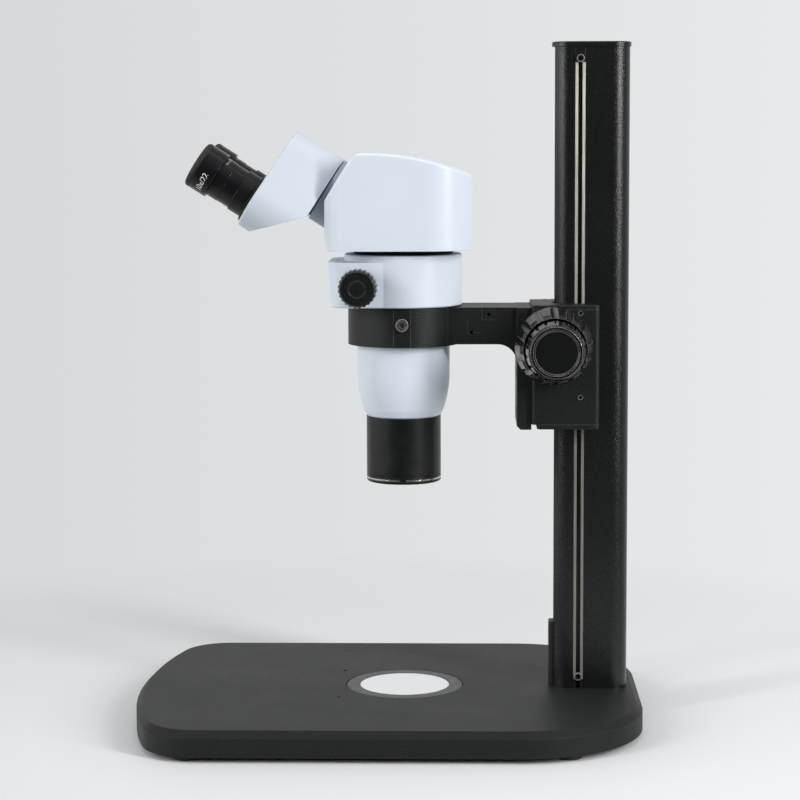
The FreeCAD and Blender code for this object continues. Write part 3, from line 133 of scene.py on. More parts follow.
class Finish:
    """A procedural material, built up node by node. Lengths are in metres."""

    def __init__(self, name):
        self.material = bpy.data.materials.new(name)
        self.material.use_nodes = True
        self.shader = self.material.node_tree.nodes["Principled BSDF"]
        self.place = self.add("ShaderNodeTexCoord").outputs["Object"]

    def add(self, kind, **settings):
        node = self.material.node_tree.nodes.new(kind)
        for key, value in settings.items():
            setattr(node, key, value)
        return node

    def put(self, socket, value):
        if isinstance(value, bpy.types.NodeSocket):
            self.material.node_tree.links.new(value, socket)
        else:
            socket.default_value = value

    def set(self, **values):
        for key, value in values.items():
            self.put(self.shader.inputs[key.replace("_", " ")], value)

    def calc(self, operation, first, second=0.0):
        node = self.add("ShaderNodeMath", operation=operation)
        self.put(node.inputs[0], first)
        self.put(node.inputs[1], second)
        return node.outputs[0]

    def remap(self, value, low, high, to_low, to_high):
        node = self.add("ShaderNodeMapRange")
        for index, given in enumerate((value, low, high, to_low, to_high)):
            self.put(node.inputs[index], given)
        return node.outputs[0]

    def mix(self, factor, first, second):
        node = self.add("ShaderNodeMix", data_type="RGBA")
        self.put(node.inputs["Factor"], factor)
        self.put(node.inputs[6], first)
        self.put(node.inputs[7], second)
        return node.outputs[2]

    def stretched(self, x, y, z):
        node = self.add("ShaderNodeVectorMath", operation="MULTIPLY")
        self.put(node.inputs[0], self.place)
        node.inputs[1].default_value = (x, y, z)
        return node.outputs[0]

    def noise(self, size, detail=2.0, where=None, roughness=0.5):
        """Noise whose lumps are about size metres across."""
        node = self.add("ShaderNodeTexNoise")
        self.put(node.inputs["Vector"], where or self.place)
        node.inputs["Scale"].default_value = 1.0 / size
        node.inputs["Detail"].default_value = detail
        node.inputs["Roughness"].default_value = roughness
        return node.outputs["Fac"]

    def cells(self, size):
        node = self.add("ShaderNodeTexVoronoi")
        self.put(node.inputs["Vector"], self.place)
        node.inputs["Scale"].default_value = 1.0 / size
        return node.outputs["Distance"]

    def bump(self, height, depth, before=None):
        node = self.add("ShaderNodeBump")
        node.inputs["Strength"].default_value = 1.0
        node.inputs["Distance"].default_value = depth
        self.put(node.inputs["Height"], height)
        if before is not None:
            self.put(node.inputs["Normal"], before)
        return node.outputs["Normal"]

    def soft_edges(self, radius):
        node = self.add("ShaderNodeBevel", samples=4)
        node.inputs["Radius"].default_value = radius
        return node.outputs["Normal"]

    def edge_mask(self, radius):
        """1 on sharp edges, 0 on flat ground."""
        rounded = self.soft_edges(radius)
        plain = self.add("ShaderNodeNewGeometry").outputs["Normal"]
        node = self.add("ShaderNodeVectorMath", operation="DOT_PRODUCT")
        self.put(node.inputs[0], rounded)
        self.put(node.inputs[1], plain)
        return self.remap(node.outputs["Value"], 0.995, 0.86, 0.0, 1.0)

    def facing_up(self):
        """1 on level tops, 0 on sides and bevels."""
        split = self.add("ShaderNodeSeparateXYZ")
        self.put(split.inputs[0], self.add("ShaderNodeNewGeometry").outputs["Normal"])
        return self.remap(split.outputs["Z"], 0.9, 0.98, 0.0, 1.0)

    def from_axis(self, point, axis):
        """Distance from a line through point along axis, in metres."""
        shifted = self.add("ShaderNodeVectorMath", operation="SUBTRACT")
        self.put(shifted.inputs[0], self.place)
        shifted.inputs[1].default_value = point
        crossed = self.add("ShaderNodeVectorMath", operation="CROSS_PRODUCT")
        self.put(crossed.inputs[0], shifted.outputs[0])
        crossed.inputs[1].default_value = Vector(axis).normalized()
        length = self.add("ShaderNodeVectorMath", operation="LENGTH")
        self.put(length.inputs[0], crossed.outputs[0])
        return length.outputs["Value"]


def mottled(f, colour, size, amount):
    """The colour with slow lighter and darker patches."""
    patches = f.noise(size, 3.0)
    return f.mix(f.remap(patches, 0.3, 0.7, 0.0, 1.0), scaled(colour, 1.0 - amount),
                 scaled(colour, 1.0 + amount))


def textured_paint(name, colour, roughness, grain, depth, edge_highlight, edge=0.0005, gloss=0.5,
                   highlight_lines=None, patches=0.07, sparkle=0.055, sides=1.0):
    """Powder coat: fine pebbled grain, edges painted lighter as highlights, soft handling marks.

    The function given for the lines is called with f and adds lines painted lighter as highlights. sides is
    how light the sides and bevels are painted against the top, as painted shade.
    """
    f = Finish(name)
    body = mottled(f, colour, 0.035, patches)
    # Painted shade: sides and bevels take a darker copy of the colour, level tops keep it.
    if sides < 1.0:
        body = f.mix(f.facing_up(), mottled(f, scaled(colour, sides), 0.035, patches), body)
    flecks = f.remap(f.noise(grain * 1.7, 1.0), 0.62, 0.74, 0.0, 0.5)
    body = f.mix(flecks, body, scaled(colour, 1.9))
    # Painted highlight: edges are painted up to nine times lighter.
    body = f.mix(f.calc("MULTIPLY", f.edge_mask(edge), edge_highlight), body, scaled(colour, 9.0))
    # Painted highlight: the given lines are painted seven times lighter.
    if highlight_lines is not None:
        body = f.mix(highlight_lines(f), body, scaled(colour, 7.0))
    pebbles = f.calc("ADD", f.cells(grain), f.noise(grain * 0.5, 2.0))
    smudges = f.remap(f.noise(0.06, 4.0, roughness=0.6), 0.3, 0.7, -0.03, 0.03)
    glints = f.remap(f.noise(grain * 1.5, 1.0), 0.35, 0.65, roughness + sparkle, roughness - sparkle)
    f.set(Base_Color=body, Roughness=f.calc("ADD", smudges, glints),
          Normal=f.bump(pebbles, depth, f.soft_edges(edge)))
    f.shader.inputs["Specular IOR Level"].default_value = gloss
    return f.material


def gloss_paint(name, colour, roughness, peel=0.00005):
    """Smooth enamel with faint orange peel."""
    f = Finish(name)
    body = mottled(f, colour, 0.06, 0.012)
    specks = f.remap(f.noise(0.0007, 1.0), 0.70, 0.78, 0.0, 0.25)
    body = f.mix(specks, body, scaled(colour, 0.82))
    # Painted highlight: edges are painted a little lighter.
    body = f.mix(f.calc("MULTIPLY", f.edge_mask(0.0006), 0.35), body, scaled(colour, 1.08))
    smudges = f.noise(0.03, 4.0, roughness=0.6)
    f.set(Base_Color=body,
          Roughness=f.remap(smudges, 0.3, 0.7, roughness - 0.04, roughness + 0.05),
          Normal=f.bump(f.noise(0.0016, 2.0), peel, f.soft_edges(0.0006)))
    return f.material


def moulded(name, colour, roughness, edge_highlight, grain=0.0006, depth=0.00005, edge=0.0005, highlight_colour=None,
            patches=0.08, gloss=0.5):
    """Moulded plastic or rubber: spark-eroded grain and edges painted lighter as highlights, in the given
    highlight colour.
    """
    f = Finish(name)
    f.shader.inputs["Specular IOR Level"].default_value = gloss
    body = mottled(f, colour, 0.012, patches)
    # Painted highlight: edges take the highlight colour, and five times the colour when none is given.
    body = f.mix(f.calc("MULTIPLY", f.edge_mask(edge), edge_highlight), body, highlight_colour or scaled(colour, 5.0))
    handled = f.remap(f.noise(0.008, 4.0), 0.35, 0.7, roughness - 0.05, roughness + 0.06)
    f.set(Base_Color=body, Roughness=handled,
          Normal=f.bump(f.noise(grain, 2.0), depth, f.soft_edges(edge)))
    return f.material


def drawn_metal(name, colour, roughness, along, metallic=1.0):
    """Metal with fine lines along one axis, from rolling or brushing."""
    f = Finish(name)
    stretch = [1.0, 1.0, 1.0]
    stretch["xyz".index(along)] = 0.02
    lines = f.noise(0.0004, 3.0, f.stretched(*stretch))
    stains = f.noise(0.02, 3.0)
    body = f.mix(f.remap(lines, 0.3, 0.7, 0.0, 1.0), scaled(colour, 0.84), scaled(colour, 1.06))
    body = f.mix(f.remap(stains, 0.55, 0.8, 0.0, 0.25), body, scaled(colour, 0.75))
    f.set(Base_Color=body, Metallic=metallic,
          Roughness=f.remap(lines, 0.3, 0.7, roughness - 0.06, roughness + 0.1),
          Normal=f.bump(lines, 0.00002, f.soft_edges(0.0003)))
    return f.material


def turned_metal(name, colour, roughness, point, axis, metallic=1.0, pitch=0.00035):
    """Lathe-turned surface: fine rings about the axis."""
    f = Finish(name)
    radius = f.from_axis(point, axis)
    rings = f.calc("SINE", f.calc("MULTIPLY", radius, 2 * math.pi / pitch))
    cloud = f.noise(0.004, 3.0)
    body = f.mix(f.remap(rings, -1.0, 1.0, 0.0, 1.0), scaled(colour, 0.9), scaled(colour, 1.05))
    body = f.mix(f.remap(cloud, 0.45, 0.75, 0.0, 0.25), body, scaled(colour, 0.8))
    f.set(Base_Color=body, Metallic=metallic,
          Roughness=f.remap(cloud, 0.3, 0.7, roughness - 0.05, roughness + 0.08),
          Normal=f.bump(rings, 0.000006, f.soft_edges(0.0003)))
    return f.material


def anodised(name, colour, roughness):
    """Satin black anodising over turned aluminium."""
    f = Finish(name)
    body = mottled(f, colour, 0.01, 0.06)
    # Painted highlight: edges are painted up to six times lighter.
    body = f.mix(f.calc("MULTIPLY", f.edge_mask(0.0004), 0.5), body, scaled(colour, 6.0))
    fine = f.noise(0.0003, 2.0, f.stretched(1.0, 1.0, 0.4))
    f.set(Base_Color=body, Metallic=0.35,
          Roughness=f.remap(f.noise(0.015, 4.0), 0.3, 0.7, roughness - 0.04, roughness + 0.06),
          Normal=f.bump(fine, 0.00001, f.soft_edges(0.0004)))
    return f.material


def coated_glass(name, colour):
    """Lens glass with a thin coloured coating: painted dark face-on as the shade of the depth behind it,
    and in the coating colour towards grazing angles as a painted reflection.
    """
    f = Finish(name)
    # Painted shade and painted reflection: dark where the glass faces the view, coating colour at grazing
    # angles.
    rim = f.add("ShaderNodeLayerWeight")
    rim.inputs["Blend"].default_value = 0.35
    body = f.mix(rim.outputs["Facing"], scaled(colour, 0.35), colour)
    dust = f.remap(f.noise(0.0012, 3.0), 0.68, 0.8, 0.0, 0.2)
    f.set(Base_Color=f.mix(dust, body, (0.4, 0.42, 0.45, 1.0)),
          Roughness=f.remap(dust, 0.0, 0.2, 0.03, 0.16), IOR=1.52, Metallic=0.0)
    f.set(Coat_Weight=1.0, Coat_Roughness=0.02)
    return f.material


def wear(names, material):
    for name in names:
        slots = nodes[name].data.materials
        slots.clear()
        slots.append(material)


def both(name):
    return ["right_" + name, "left_" + name]


def centre_of(name):
    low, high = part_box(name)
    return (Vector(low) + Vector(high)) / 2.0


def half_width(name):
    low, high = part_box(name)
    return (high[0] - low[0]) / 2.0


def half_depth(name):
    low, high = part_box(name)
    return (high[1] - low[1]) / 2.0


def joint_axis(name):
    """Point on a joint's axis, and the axis."""
    for joint in frame["record"]["behaviour"]["joints"]:
        if joint["name"] == name:
            return Vector(joint["pos_m"]), Vector(joint["axis"]).normalized()
    raise ValueError(name)


def flat_edges(f):
    """The two upright lines where the clamp screw's flat meets the round of the ring, for painting as
    highlights.
    """
    middle = joint_axis("pod_swivel")[0].y
    ring_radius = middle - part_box("focus_arm")[0][1]
    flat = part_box("clamp_screw")[1][0] - CLAMP_HEAD_PROUD
    half_flat = math.sqrt(ring_radius ** 2 - flat ** 2)
    split = f.add("ShaderNodeSeparateXYZ")
    f.put(split.inputs[0], f.place)
    away = f.calc("ABSOLUTE", f.calc("SUBTRACT", split.outputs["Y"], middle))
    off_line = f.calc("ABSOLUTE", f.calc("SUBTRACT", away, half_flat))
    line = f.remap(off_line, FLAT_LINE_CORE, FLAT_LINE_END, 1.0, 0.0)
    return f.calc("MULTIPLY", line, f.calc("GREATER_THAN", split.outputs["X"], flat - FLAT_MARGIN))


WHITE = tint(219, 228, 239)
BLACK_PAINT = tint(20, 22, 22)
COLUMN_BLACK = tint(16, 18, 18)
BASE_GREY = tint(31, 33, 33)
MOULD_BLACK = tint(17, 18, 18)

white_paint = gloss_paint("white_enamel", WHITE, 0.34)
# Painted shade: the tube housings take the white enamel at 0.84 of its colour.
shaded_tube_white = gloss_paint("tube_enamel_painted_shade", scaled(WHITE, 0.84), 0.36)
# Painted shade: the nose and head base are painted grey, a darker tone of the white enamel.
shaded_enamel_paint = gloss_paint("enamel_painted_shade", tint(170, 180, 194), 0.38)
# The base's sides and bevels are painted at 0.42 of the top's colour as shade.
base_paint = textured_paint(
    "base_powder_coat", BASE_GREY, roughness=0.5, grain=0.0007, depth=0.00008, edge_highlight=0.2,
    gloss=0.26, patches=0.025, sides=0.42)
column_paint = textured_paint(
    "column_powder_coat", COLUMN_BLACK, roughness=0.24, grain=0.0006, depth=0.00007, edge_highlight=0.2,
    gloss=0.48, patches=0.04, sparkle=0.05)
# Housing and arm: their edges are painted lighter as highlights.
housing_paint = textured_paint(
    "housing_crinkle_coat", BLACK_PAINT, roughness=0.44, grain=0.0011, depth=0.00012,
    edge_highlight=0.95, edge=0.0009, gloss=0.32)
# The arm also has the clamp flat's two lines painted lighter as highlights.
arm_paint = textured_paint(
    "arm_crinkle_coat", BLACK_PAINT, roughness=0.44, grain=0.0011, depth=0.00012,
    edge_highlight=0.35, edge=0.0009, gloss=0.32, highlight_lines=flat_edges)


def rail_finish():
    """Drawn stainless strips, painted over beyond the end screws and painted darker further down as shade.
    """
    f = Finish("rail_stainless")
    lines = f.noise(0.0004, 3.0, f.stretched(1.0, 1.0, 0.02))
    stains = f.noise(0.02, 3.0)
    steel = f.mix(f.remap(lines, 0.3, 0.7, 0.0, 1.0), tint(196, 193, 180), tint(238, 236, 225))
    steel = f.mix(f.remap(stains, 0.55, 0.8, 0.0, 0.3), steel, tint(150, 147, 136))
    low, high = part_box("rail_screws")
    head = 2.0 * half_depth("rail_screws")
    split = f.add("ShaderNodeSeparateXYZ")
    f.put(split.inputs[0], f.place)
    height = split.outputs["Z"]
    # Painted shade: the steel is painted darker towards the bottom.
    low_shade = f.remap(height, SHADE_FULL_BELOW, SHADE_NONE_ABOVE, 0.75, 0.0)
    steel = f.mix(low_shade, steel, tint(66, 65, 60))
    above = f.calc("GREATER_THAN", height, high[2] - head)
    below = f.calc("LESS_THAN", height, low[2] + PAINT_LAP)
    painted = f.calc("MAXIMUM", above, below)
    f.set(Base_Color=f.mix(painted, steel, COLUMN_BLACK),
          Metallic=f.remap(painted, 0.0, 1.0, 0.3, 0.0),
          Roughness=f.remap(lines, 0.3, 0.7, 0.3, 0.5),
          Normal=f.bump(lines, 0.00002, f.soft_edges(0.0003)))
    return f.material


wear(["base_plate"], base_paint)
wear(["column_profile", "column_cap"], column_paint)
wear(["focus_housing", "top_cover", "bottom_cover"], housing_paint)
wear(["focus_arm"], arm_paint)
wear(["base_feet"], moulded(
    "foot_rubber", tint(28, 28, 28), roughness=0.75, edge_highlight=0.1, grain=0.0009, depth=0.00012))
wear(["stage_ring"], turned_metal(
    "stage_ring_anodised", tint(84, 86, 88), 0.42, centre_of("stage_ring"), UP, metallic=0.5))
wear(["stage_plate"], moulded(
    "stage_plate_plastic", tint(232, 234, 236), roughness=0.42, edge_highlight=0.0, grain=0.0008,
    depth=0.00002, patches=0.015))
wear(["column_rails"], rail_finish())
wear(["arm_screws", "column_bolts"], moulded(
    "blackened_screw", tint(24, 24, 25), roughness=0.32, edge_highlight=0.8, grain=0.0004,
    depth=0.00001, edge=0.0003))
wear(["travel_stop"], moulded("stop_plastic", tint(26, 26, 27), roughness=0.5, edge_highlight=0.25))
wear(["gear_rack", "zoom_pinions"], drawn_metal("rack_steel", tint(150, 150, 150), 0.35, "x"))
wear(["guide_shoes"], moulded("shoe_acetal", tint(220, 216, 205), roughness=0.45, edge_highlight=0.0))
wear(["pinion_bushes"], turned_metal(
    "bush_bronze", tint(176, 136, 84), 0.36, centre_of("pinion_bushes"), ACROSS))
wear(["pinion_shaft", "fine_shaft", "zoom_shaft"], turned_metal(
    "shaft_steel", tint(168, 168, 170), 0.3, centre_of("pinion_shaft"), ACROSS))
wear(["guide_rods"], drawn_metal("rod_steel", tint(190, 190, 192), 0.2, "z"))
wear(["upper_carrier", "lower_carrier"], drawn_metal(
    "carrier_aluminium", tint(168, 170, 174), 0.38, "y"))
# Knobs: their edges are painted as highlights in the given light colours.
wear(both("coarse_knob"), moulded(
    "coarse_knob_plastic", MOULD_BLACK, roughness=0.25, edge_highlight=0.9, depth=0.00002,
    highlight_colour=tint(138, 140, 141), gloss=0.25))
wear(both("fine_knob"), moulded(
    "fine_knob_plastic", MOULD_BLACK, roughness=0.17, edge_highlight=1.0, depth=0.00002, edge=0.0007,
    highlight_colour=tint(165, 167, 168)))
wear(both("zoom_knob"), moulded(
    "zoom_knob_plastic", tint(20, 21, 22), roughness=0.28, edge_highlight=0.9, grain=0.0005,
    depth=0.00002, edge=0.0004, highlight_colour=tint(104, 106, 107)))
wear(["zoom_housing", "zoom_barrel", "head_housing"], white_paint)
wear(both("tube_housing"), shaded_tube_white)
wear(["tube_nose", "head_base"], shaded_enamel_paint)
wear(["objective_cell"], anodised("objective_anodised", tint(17, 20, 19), 0.36))
wear(["dovetail_ring"] + both("eyetube"), anodised("ring_anodised", MOULD_BLACK, 0.34))
wear(both("eyepiece") + both("dioptre_ring"), anodised("eyepiece_anodised", tint(22, 23, 25), 0.24))
wear(["objective_ring"], turned_metal(
    "bright_ring", tint(226, 226, 222), 0.18, centre_of("objective_cell"), UP))
wear(["objective_lens"], coated_glass("objective_coating", tint(60, 70, 92)))
wear(["upper_lenses", "lower_lenses", "head_prisms"] + both("tube_prism"), coated_glass(
    "inner_glass", tint(110, 128, 138)))
wear(both("eye_lens"), coated_glass("eye_lens_coating", tint(48, 66, 84)))
wear(both("eyecup"), moulded(
    "eyecup_rubber", tint(25, 25, 26), roughness=0.62, edge_highlight=0.15, grain=0.0007,
    depth=0.0001, edge=0.0008))


def clamp_finish():
    """Nickel-plated head, turned on its face, with a highlight painted bright on its rim."""
    f = Finish("clamp_screw_nickel")
    radius = f.from_axis(centre_of("clamp_screw"), ACROSS)
    rings = f.calc("SINE", f.calc("MULTIPLY", radius, 2 * math.pi / 0.0004))
    cloud = f.noise(0.002, 3.0)
    metal = f.mix(f.remap(cloud, 0.3, 0.7, 0.0, 1.0), tint(66, 63, 58), tint(122, 117, 110))
    # Painted highlight: the rim is painted bright between these radii.
    rim = f.remap(radius, CLAMP_RIM_START, CLAMP_RIM_FULL, 0.0, 1.0)
    f.set(Base_Color=f.mix(rim, metal, tint(184, 180, 172)), Metallic=0.55,
          Roughness=f.remap(cloud, 0.3, 0.7, 0.26, 0.4),
          Normal=f.bump(rings, 0.000008, f.soft_edges(0.0004)))
    return f.material


def ringed_screw_finish(name, node_name, head_radius):
    """Black screws with a bright highlight painted on the rim of each head; the heads look out along X."""
    f = Finish(name)
    low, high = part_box(node_name)
    middle = (low[1] + high[1]) / 2.0
    lower = f.from_axis((0.0, middle, low[2] + head_radius), ACROSS)
    upper = f.from_axis((0.0, middle, high[2] - head_radius), ACROSS)
    radius = f.calc("MINIMUM", lower, upper)
    # Painted highlight: a bright metal ring on the black head.
    rim = f.remap(radius, head_radius * 0.68, head_radius * 0.86, 0.0, 1.0)
    cloud = f.noise(0.0012, 3.0)
    metal = f.mix(f.remap(cloud, 0.3, 0.7, 0.0, 1.0), tint(118, 118, 117), tint(176, 176, 174))
    f.set(Base_Color=f.mix(rim, tint(15, 15, 16), metal), Metallic=f.remap(rim, 0.0, 1.0, 0.2, 0.5),
          Roughness=f.remap(cloud, 0.3, 0.7, 0.26, 0.4), Normal=f.soft_edges(0.0002))
    return f.material


wear(["clamp_screw"], clamp_finish())
wear(["guide_screws"], ringed_screw_finish("guide_screw_rim_highlights", "guide_screws", GUIDE_SCREW_RADIUS))
wear(["rail_screws"], ringed_screw_finish("rail_screw_rim_highlights", "rail_screws", half_depth("rail_screws")))


# ---------------------------------------------------------------- printed and added pieces

def new_piece(name, mesh, body, material):
    piece = bpy.data.objects.new(name, mesh)
    bpy.context.scene.collection.objects.link(piece)
    mesh.materials.append(material)
    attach(piece, body)
    return piece


def wrap(mesh, centre, axis, outward, radius, turn):
    """Bend a flat print round a cylinder. Its x runs round, its y along the axis, its z outward."""
    beside = axis.cross(outward)
    for vertex in mesh.vertices:
        angle = turn + vertex.co.x / radius
        away = outward * math.cos(angle) + beside * math.sin(angle)
        vertex.co = centre + axis * vertex.co.y + away * (radius + vertex.co.z)


def mesh_from(name, shape):
    mesh = bpy.data.meshes.new(name)
    shape.to_mesh(mesh)
    shape.free()
    return mesh


def printed_words(name, words, height):
    """Flat lettering as a thin solid, centred on its own origin."""
    curve = bpy.data.curves.new(name, "FONT")
    curve.body = words
    curve.size = height
    curve.align_x = "CENTER"
    curve.align_y = "CENTER"
    curve.extrude = PRINT_THICKNESS / 2.0
    holder = bpy.data.objects.new(name, curve)
    bpy.context.scene.collection.objects.link(holder)
    bpy.context.view_layer.update()
    mesh = bpy.data.meshes.new_from_object(holder)
    bpy.data.objects.remove(holder)
    bpy.data.curves.remove(curve)
    return mesh


def print_ink():
    """White screen print, slightly worn."""
    f = Finish("white_print")
    thin = f.remap(f.noise(0.0005, 3.0), 0.4, 0.8, 0.0, 0.5)
    f.set(Base_Color=f.mix(thin, tint(244, 245, 244), tint(168, 169, 169)),
          Roughness=f.remap(thin, 0.0, 0.5, 0.5, 0.7))
    return f.material


def mark_eyepieces(ink):
    """The power and field number round the outer side of each dioptre ring."""
    for side, sign in SIDES:
        centre, axis = joint_axis(side + "_dioptre_turn")
        mesh = printed_words(side + "_marking", MARKING_TEXT, MARKING_HEIGHT)
        wrap(mesh, centre, axis, Vector((sign, 0.0, 0.0)), half_width(side + "_dioptre_ring"), MARKING_TURN)
        new_piece(side + "_marking", mesh, side + "_dioptre", ink)


def add_strip(shape, x, y, width, height):
    """Thin rectangular solid in a flat print, centred at x, y."""
    corners = []
    for z in (-PRINT_THICKNESS / 2.0, PRINT_THICKNESS / 2.0):
        for across, up in ((-1, -1), (1, -1), (1, 1), (-1, 1)):
            corners.append(shape.verts.new((x + across * width / 2.0, y + up * height / 2.0, z)))
    shape.faces.new(corners[3::-1])
    shape.faces.new(corners[4:])
    for first in range(4):
        second = (first + 1) % 4
        shape.faces.new((corners[first], corners[second], corners[second + 4], corners[first + 4]))


def printed_strips(name, strips):
    """Flat print made of strips, each given by x, y, width and height."""
    shape = bmesh.new()
    for strip in strips:
        add_strip(shape, *strip)
    return mesh_from(name, shape)


def scale_ticks(radius):
    """Ticks for the flat print, every fourth one long, with their lower ends in line."""
    ticks = []
    for tick in range(SCALE_TICKS):
        step = tick - SCALE_TICKS // 2
        height = LONG_TICK if step % LONG_TICK_EVERY == 0 else SHORT_TICK
        ticks.append((step * SCALE_STEP * radius, -SCALE_BELOW + height / 2.0, TICK_WIDTH, height))
    return ticks


def dioptre_scale(ink):
    """White ticks on the fixed part of each eyepiece, and the line on the ring that reads them."""
    for side, sign in SIDES:
        centre, axis = joint_axis(side + "_dioptre_turn")
        outward = Vector((sign, 0.0, 0.0))
        turn = SCALE_TURN * sign
        radius = half_width(side + "_eyepiece")
        mesh = printed_strips(side + "_dioptre_scale", scale_ticks(radius))
        wrap(mesh, centre, axis, outward, radius, turn)
        new_piece(side + "_dioptre_scale", mesh, side + "_tube", ink)
        line = (0.0, -INDEX_BELOW, INDEX_WIDTH, INDEX_LENGTH)
        mesh = printed_strips(side + "_dioptre_index", [line])
        wrap(mesh, centre, axis, outward, half_width(side + "_dioptre_ring"), turn)
        new_piece(side + "_dioptre_index", mesh, side + "_dioptre", ink)


def groove_covers():
    """Small painted plates that close the rail grooves between the end screws and the cap."""
    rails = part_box("column_rails")
    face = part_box("column_profile")[1][0]
    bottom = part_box("rail_screws")[1][2] + COVER_GAP
    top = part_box("column_cap")[0][2] - COVER_GAP / 2.0
    proud = rails[1][0] - face + COVER_THICKNESS
    size = (proud, rails[1][1] - rails[0][1] + COVER_LAP, top - bottom)
    for side, sign in SIDES:
        middle = (sign * (face + proud / 2.0), (rails[0][1] + rails[1][1]) / 2.0, (bottom + top) / 2.0)
        shape = bmesh.new()
        bmesh.ops.create_cube(shape, size=1.0)
        bmesh.ops.scale(shape, vec=size, verts=shape.verts)
        bmesh.ops.translate(shape, vec=middle, verts=shape.verts)
        bmesh.ops.bevel(shape, geom=shape.edges[:], offset=COVER_EDGE, segments=2, affect="EDGES")
        mesh = mesh_from(side + "_groove_cover", shape)
        new_piece(side + "_groove_cover", mesh, "stand", column_paint)


mark_eyepieces(print_ink())
dioptre_scale(print_ink())
groove_covers()


# ---------------------------------------------------------------- room, light, camera

def make_floor():
    """Pale paper, painted darker towards -Y and lighter towards +Y as shade and light, that fades out
    before its edge.
    """
    shape = bmesh.new()
    bmesh.ops.create_grid(shape, x_segments=8, y_segments=8, size=FLOOR_RADIUS)
    mesh = mesh_from("studio_floor", shape)
    floor = bpy.data.objects.new("studio_floor", mesh)
    bpy.context.scene.collection.objects.link(floor)
    f = Finish("floor_paper")
    cloud = f.noise(0.5, 2.0)
    split = f.add("ShaderNodeSeparateXYZ")
    f.put(split.inputs[0], f.place)
    # Painted shade and light: the paper darkens towards -Y and brightens towards +Y.
    across = f.remap(split.outputs["Y"], -0.8, 0.8, 0.0, 1.0)
    paper = f.mix(across, tint(212, 213, 215), tint(238, 240, 242))
    f.set(Base_Color=f.mix(f.remap(cloud, 0.3, 0.7, 0.0, 0.3), paper, tint(224, 225, 227)), Roughness=0.65,
          Normal=f.bump(f.noise(0.002, 2.0), 0.00003))
    f.shader.inputs["Specular IOR Level"].default_value = 0.25
    fade = f.remap(f.from_axis((0.0, 0.0, 0.0), UP), FLOOR_SOLID, FLOOR_GONE, 0.0, 1.0)
    clear = f.add("ShaderNodeBsdfTransparent")
    blend = f.add("ShaderNodeMixShader")
    out = f.material.node_tree.nodes["Material Output"]
    f.put(blend.inputs[0], fade)
    f.put(blend.inputs[1], f.shader.outputs[0])
    f.put(blend.inputs[2], clear.outputs[0])
    f.put(out.inputs["Surface"], blend.outputs[0])
    mesh.materials.append(f.material)


def direction_ramp(tree, source, stops):
    """Colour by one part of a direction, which runs from -1 to 1 while the stops run from 0 to 1."""
    node = tree.nodes.new("ShaderNodeValToRGB")
    points = node.color_ramp.elements
    points[0].position, points[0].color = stops[0]
    points[1].position, points[1].color = stops[-1]
    for place, colour in stops[1:-1]:
        points.new(place).color = colour
    spread = tree.nodes.new("ShaderNodeMapRange")
    spread.inputs["From Min"].default_value = -1.0
    spread.inputs["From Max"].default_value = 1.0
    tree.links.new(source, spread.inputs["Value"])
    tree.links.new(spread.outputs[0], node.inputs[0])
    return node.outputs[0]


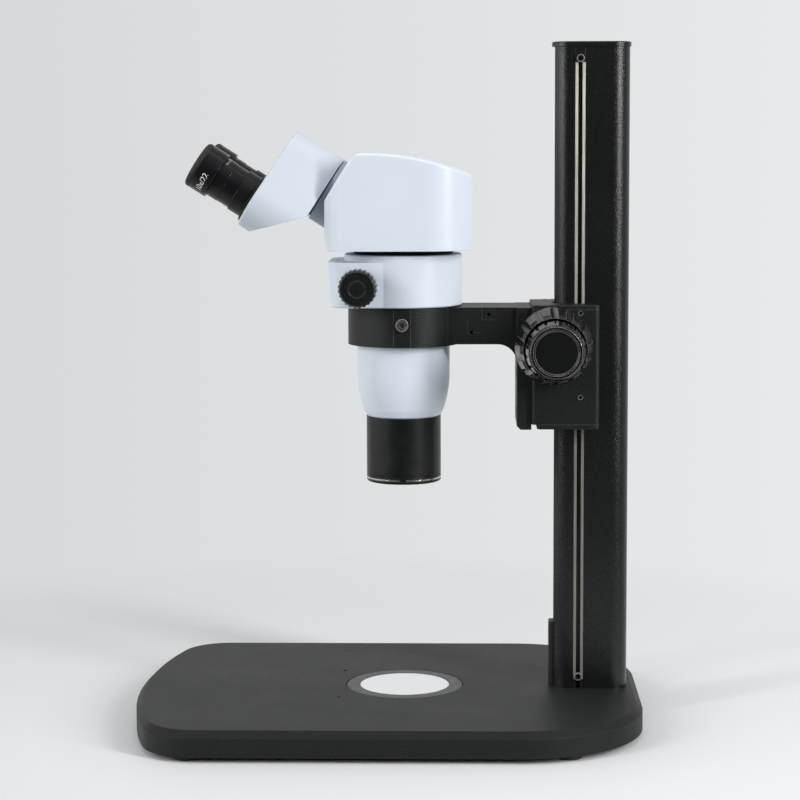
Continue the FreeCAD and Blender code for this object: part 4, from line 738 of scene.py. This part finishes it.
def make_world():
    """Camera rays see a pale backdrop that brightens to the right; other rays see a soft studio."""
    world = bpy.data.worlds.new("studio")
    bpy.context.scene.world = world
    world.use_nodes = True
    tree = world.node_tree
    tree.nodes.clear()
    link = tree.links.new
    direction = tree.nodes.new("ShaderNodeTexCoord").outputs["Generated"]
    split = tree.nodes.new("ShaderNodeSeparateXYZ")
    link(direction, split.inputs[0])

    backdrop = [(0.40, tint(216, 217, 219)), (0.5, tint(224, 226, 228)), (0.60, tint(233, 235, 237))]
    seen = tree.nodes.new("ShaderNodeBackground")
    link(direction_ramp(tree, split.outputs["Y"], backdrop), seen.inputs["Color"])
    walls = [(0.0, grey(0.75)), (0.5, grey(0.40)), (0.8, grey(0.16)), (1.0, grey(0.07))]
    around = direction_ramp(tree, split.outputs["X"], walls)
    overhead = tree.nodes.new("ShaderNodeMapRange")
    overhead.inputs["From Min"].default_value = OVERHEAD_START
    overhead.inputs["From Max"].default_value = OVERHEAD_FULL
    link(split.outputs["Z"], overhead.inputs["Value"])
    studio = tree.nodes.new("ShaderNodeMix")
    studio.data_type = "RGBA"
    link(overhead.outputs[0], studio.inputs["Factor"])
    link(around, studio.inputs[6])
    studio.inputs[7].default_value = grey(0.42)
    fill = tree.nodes.new("ShaderNodeBackground")
    link(studio.outputs[2], fill.inputs["Color"])
    fill.inputs["Strength"].default_value = FILL_STRENGTH
    path = tree.nodes.new("ShaderNodeLightPath")
    blend = tree.nodes.new("ShaderNodeMixShader")
    out = tree.nodes.new("ShaderNodeOutputWorld")
    link(path.outputs["Is Camera Ray"], blend.inputs[0])
    link(fill.outputs[0], blend.inputs[1])
    link(seen.outputs[0], blend.inputs[2])
    link(blend.outputs[0], out.inputs[0])


def softbox(name, place, target, width, height, power):
    """Rectangular lamp at place that shines at target."""
    lamp = bpy.data.lights.new(name, "AREA")
    lamp.shape = "RECTANGLE"
    lamp.size = width
    lamp.size_y = height
    lamp.energy = power
    holder = bpy.data.objects.new(name, lamp)
    holder.location = place
    aim = Vector(target) - Vector(place)
    holder.rotation_mode = "QUATERNION"
    holder.rotation_quaternion = aim.to_track_quat("-Z", "Y")
    bpy.context.scene.collection.objects.link(holder)


def make_camera():
    data = bpy.data.cameras.new("camera")
    data.lens = CAMERA_LENS
    data.sensor_width = CAMERA_SENSOR
    data.shift_y = CAMERA_SHIFT_Y
    data.clip_end = CAMERA_REACH
    holder = bpy.data.objects.new("camera", data)
    level = math.cos(CAMERA_PITCH)
    ahead = Vector((-math.cos(CAMERA_YAW) * level, -math.sin(CAMERA_YAW) * level, -math.sin(CAMERA_PITCH)))
    side = ahead.cross(Vector(UP)).normalized()
    top = side.cross(ahead)
    turn = Matrix.Rotation(CAMERA_ROLL, 3, ahead)
    side = turn @ side
    top = turn @ top
    rotation = Matrix((side, top, -ahead)).transposed()
    holder.rotation_mode = "QUATERNION"
    holder.rotation_quaternion = rotation.to_quaternion()
    holder.location = CAMERA_PLACE
    bpy.context.scene.collection.objects.link(holder)
    bpy.context.scene.camera = holder


make_floor()
make_world()
for lamp in LAMPS:
    softbox(*lamp)
make_camera()
bpy.context.scene.view_settings.view_transform = "Standard"
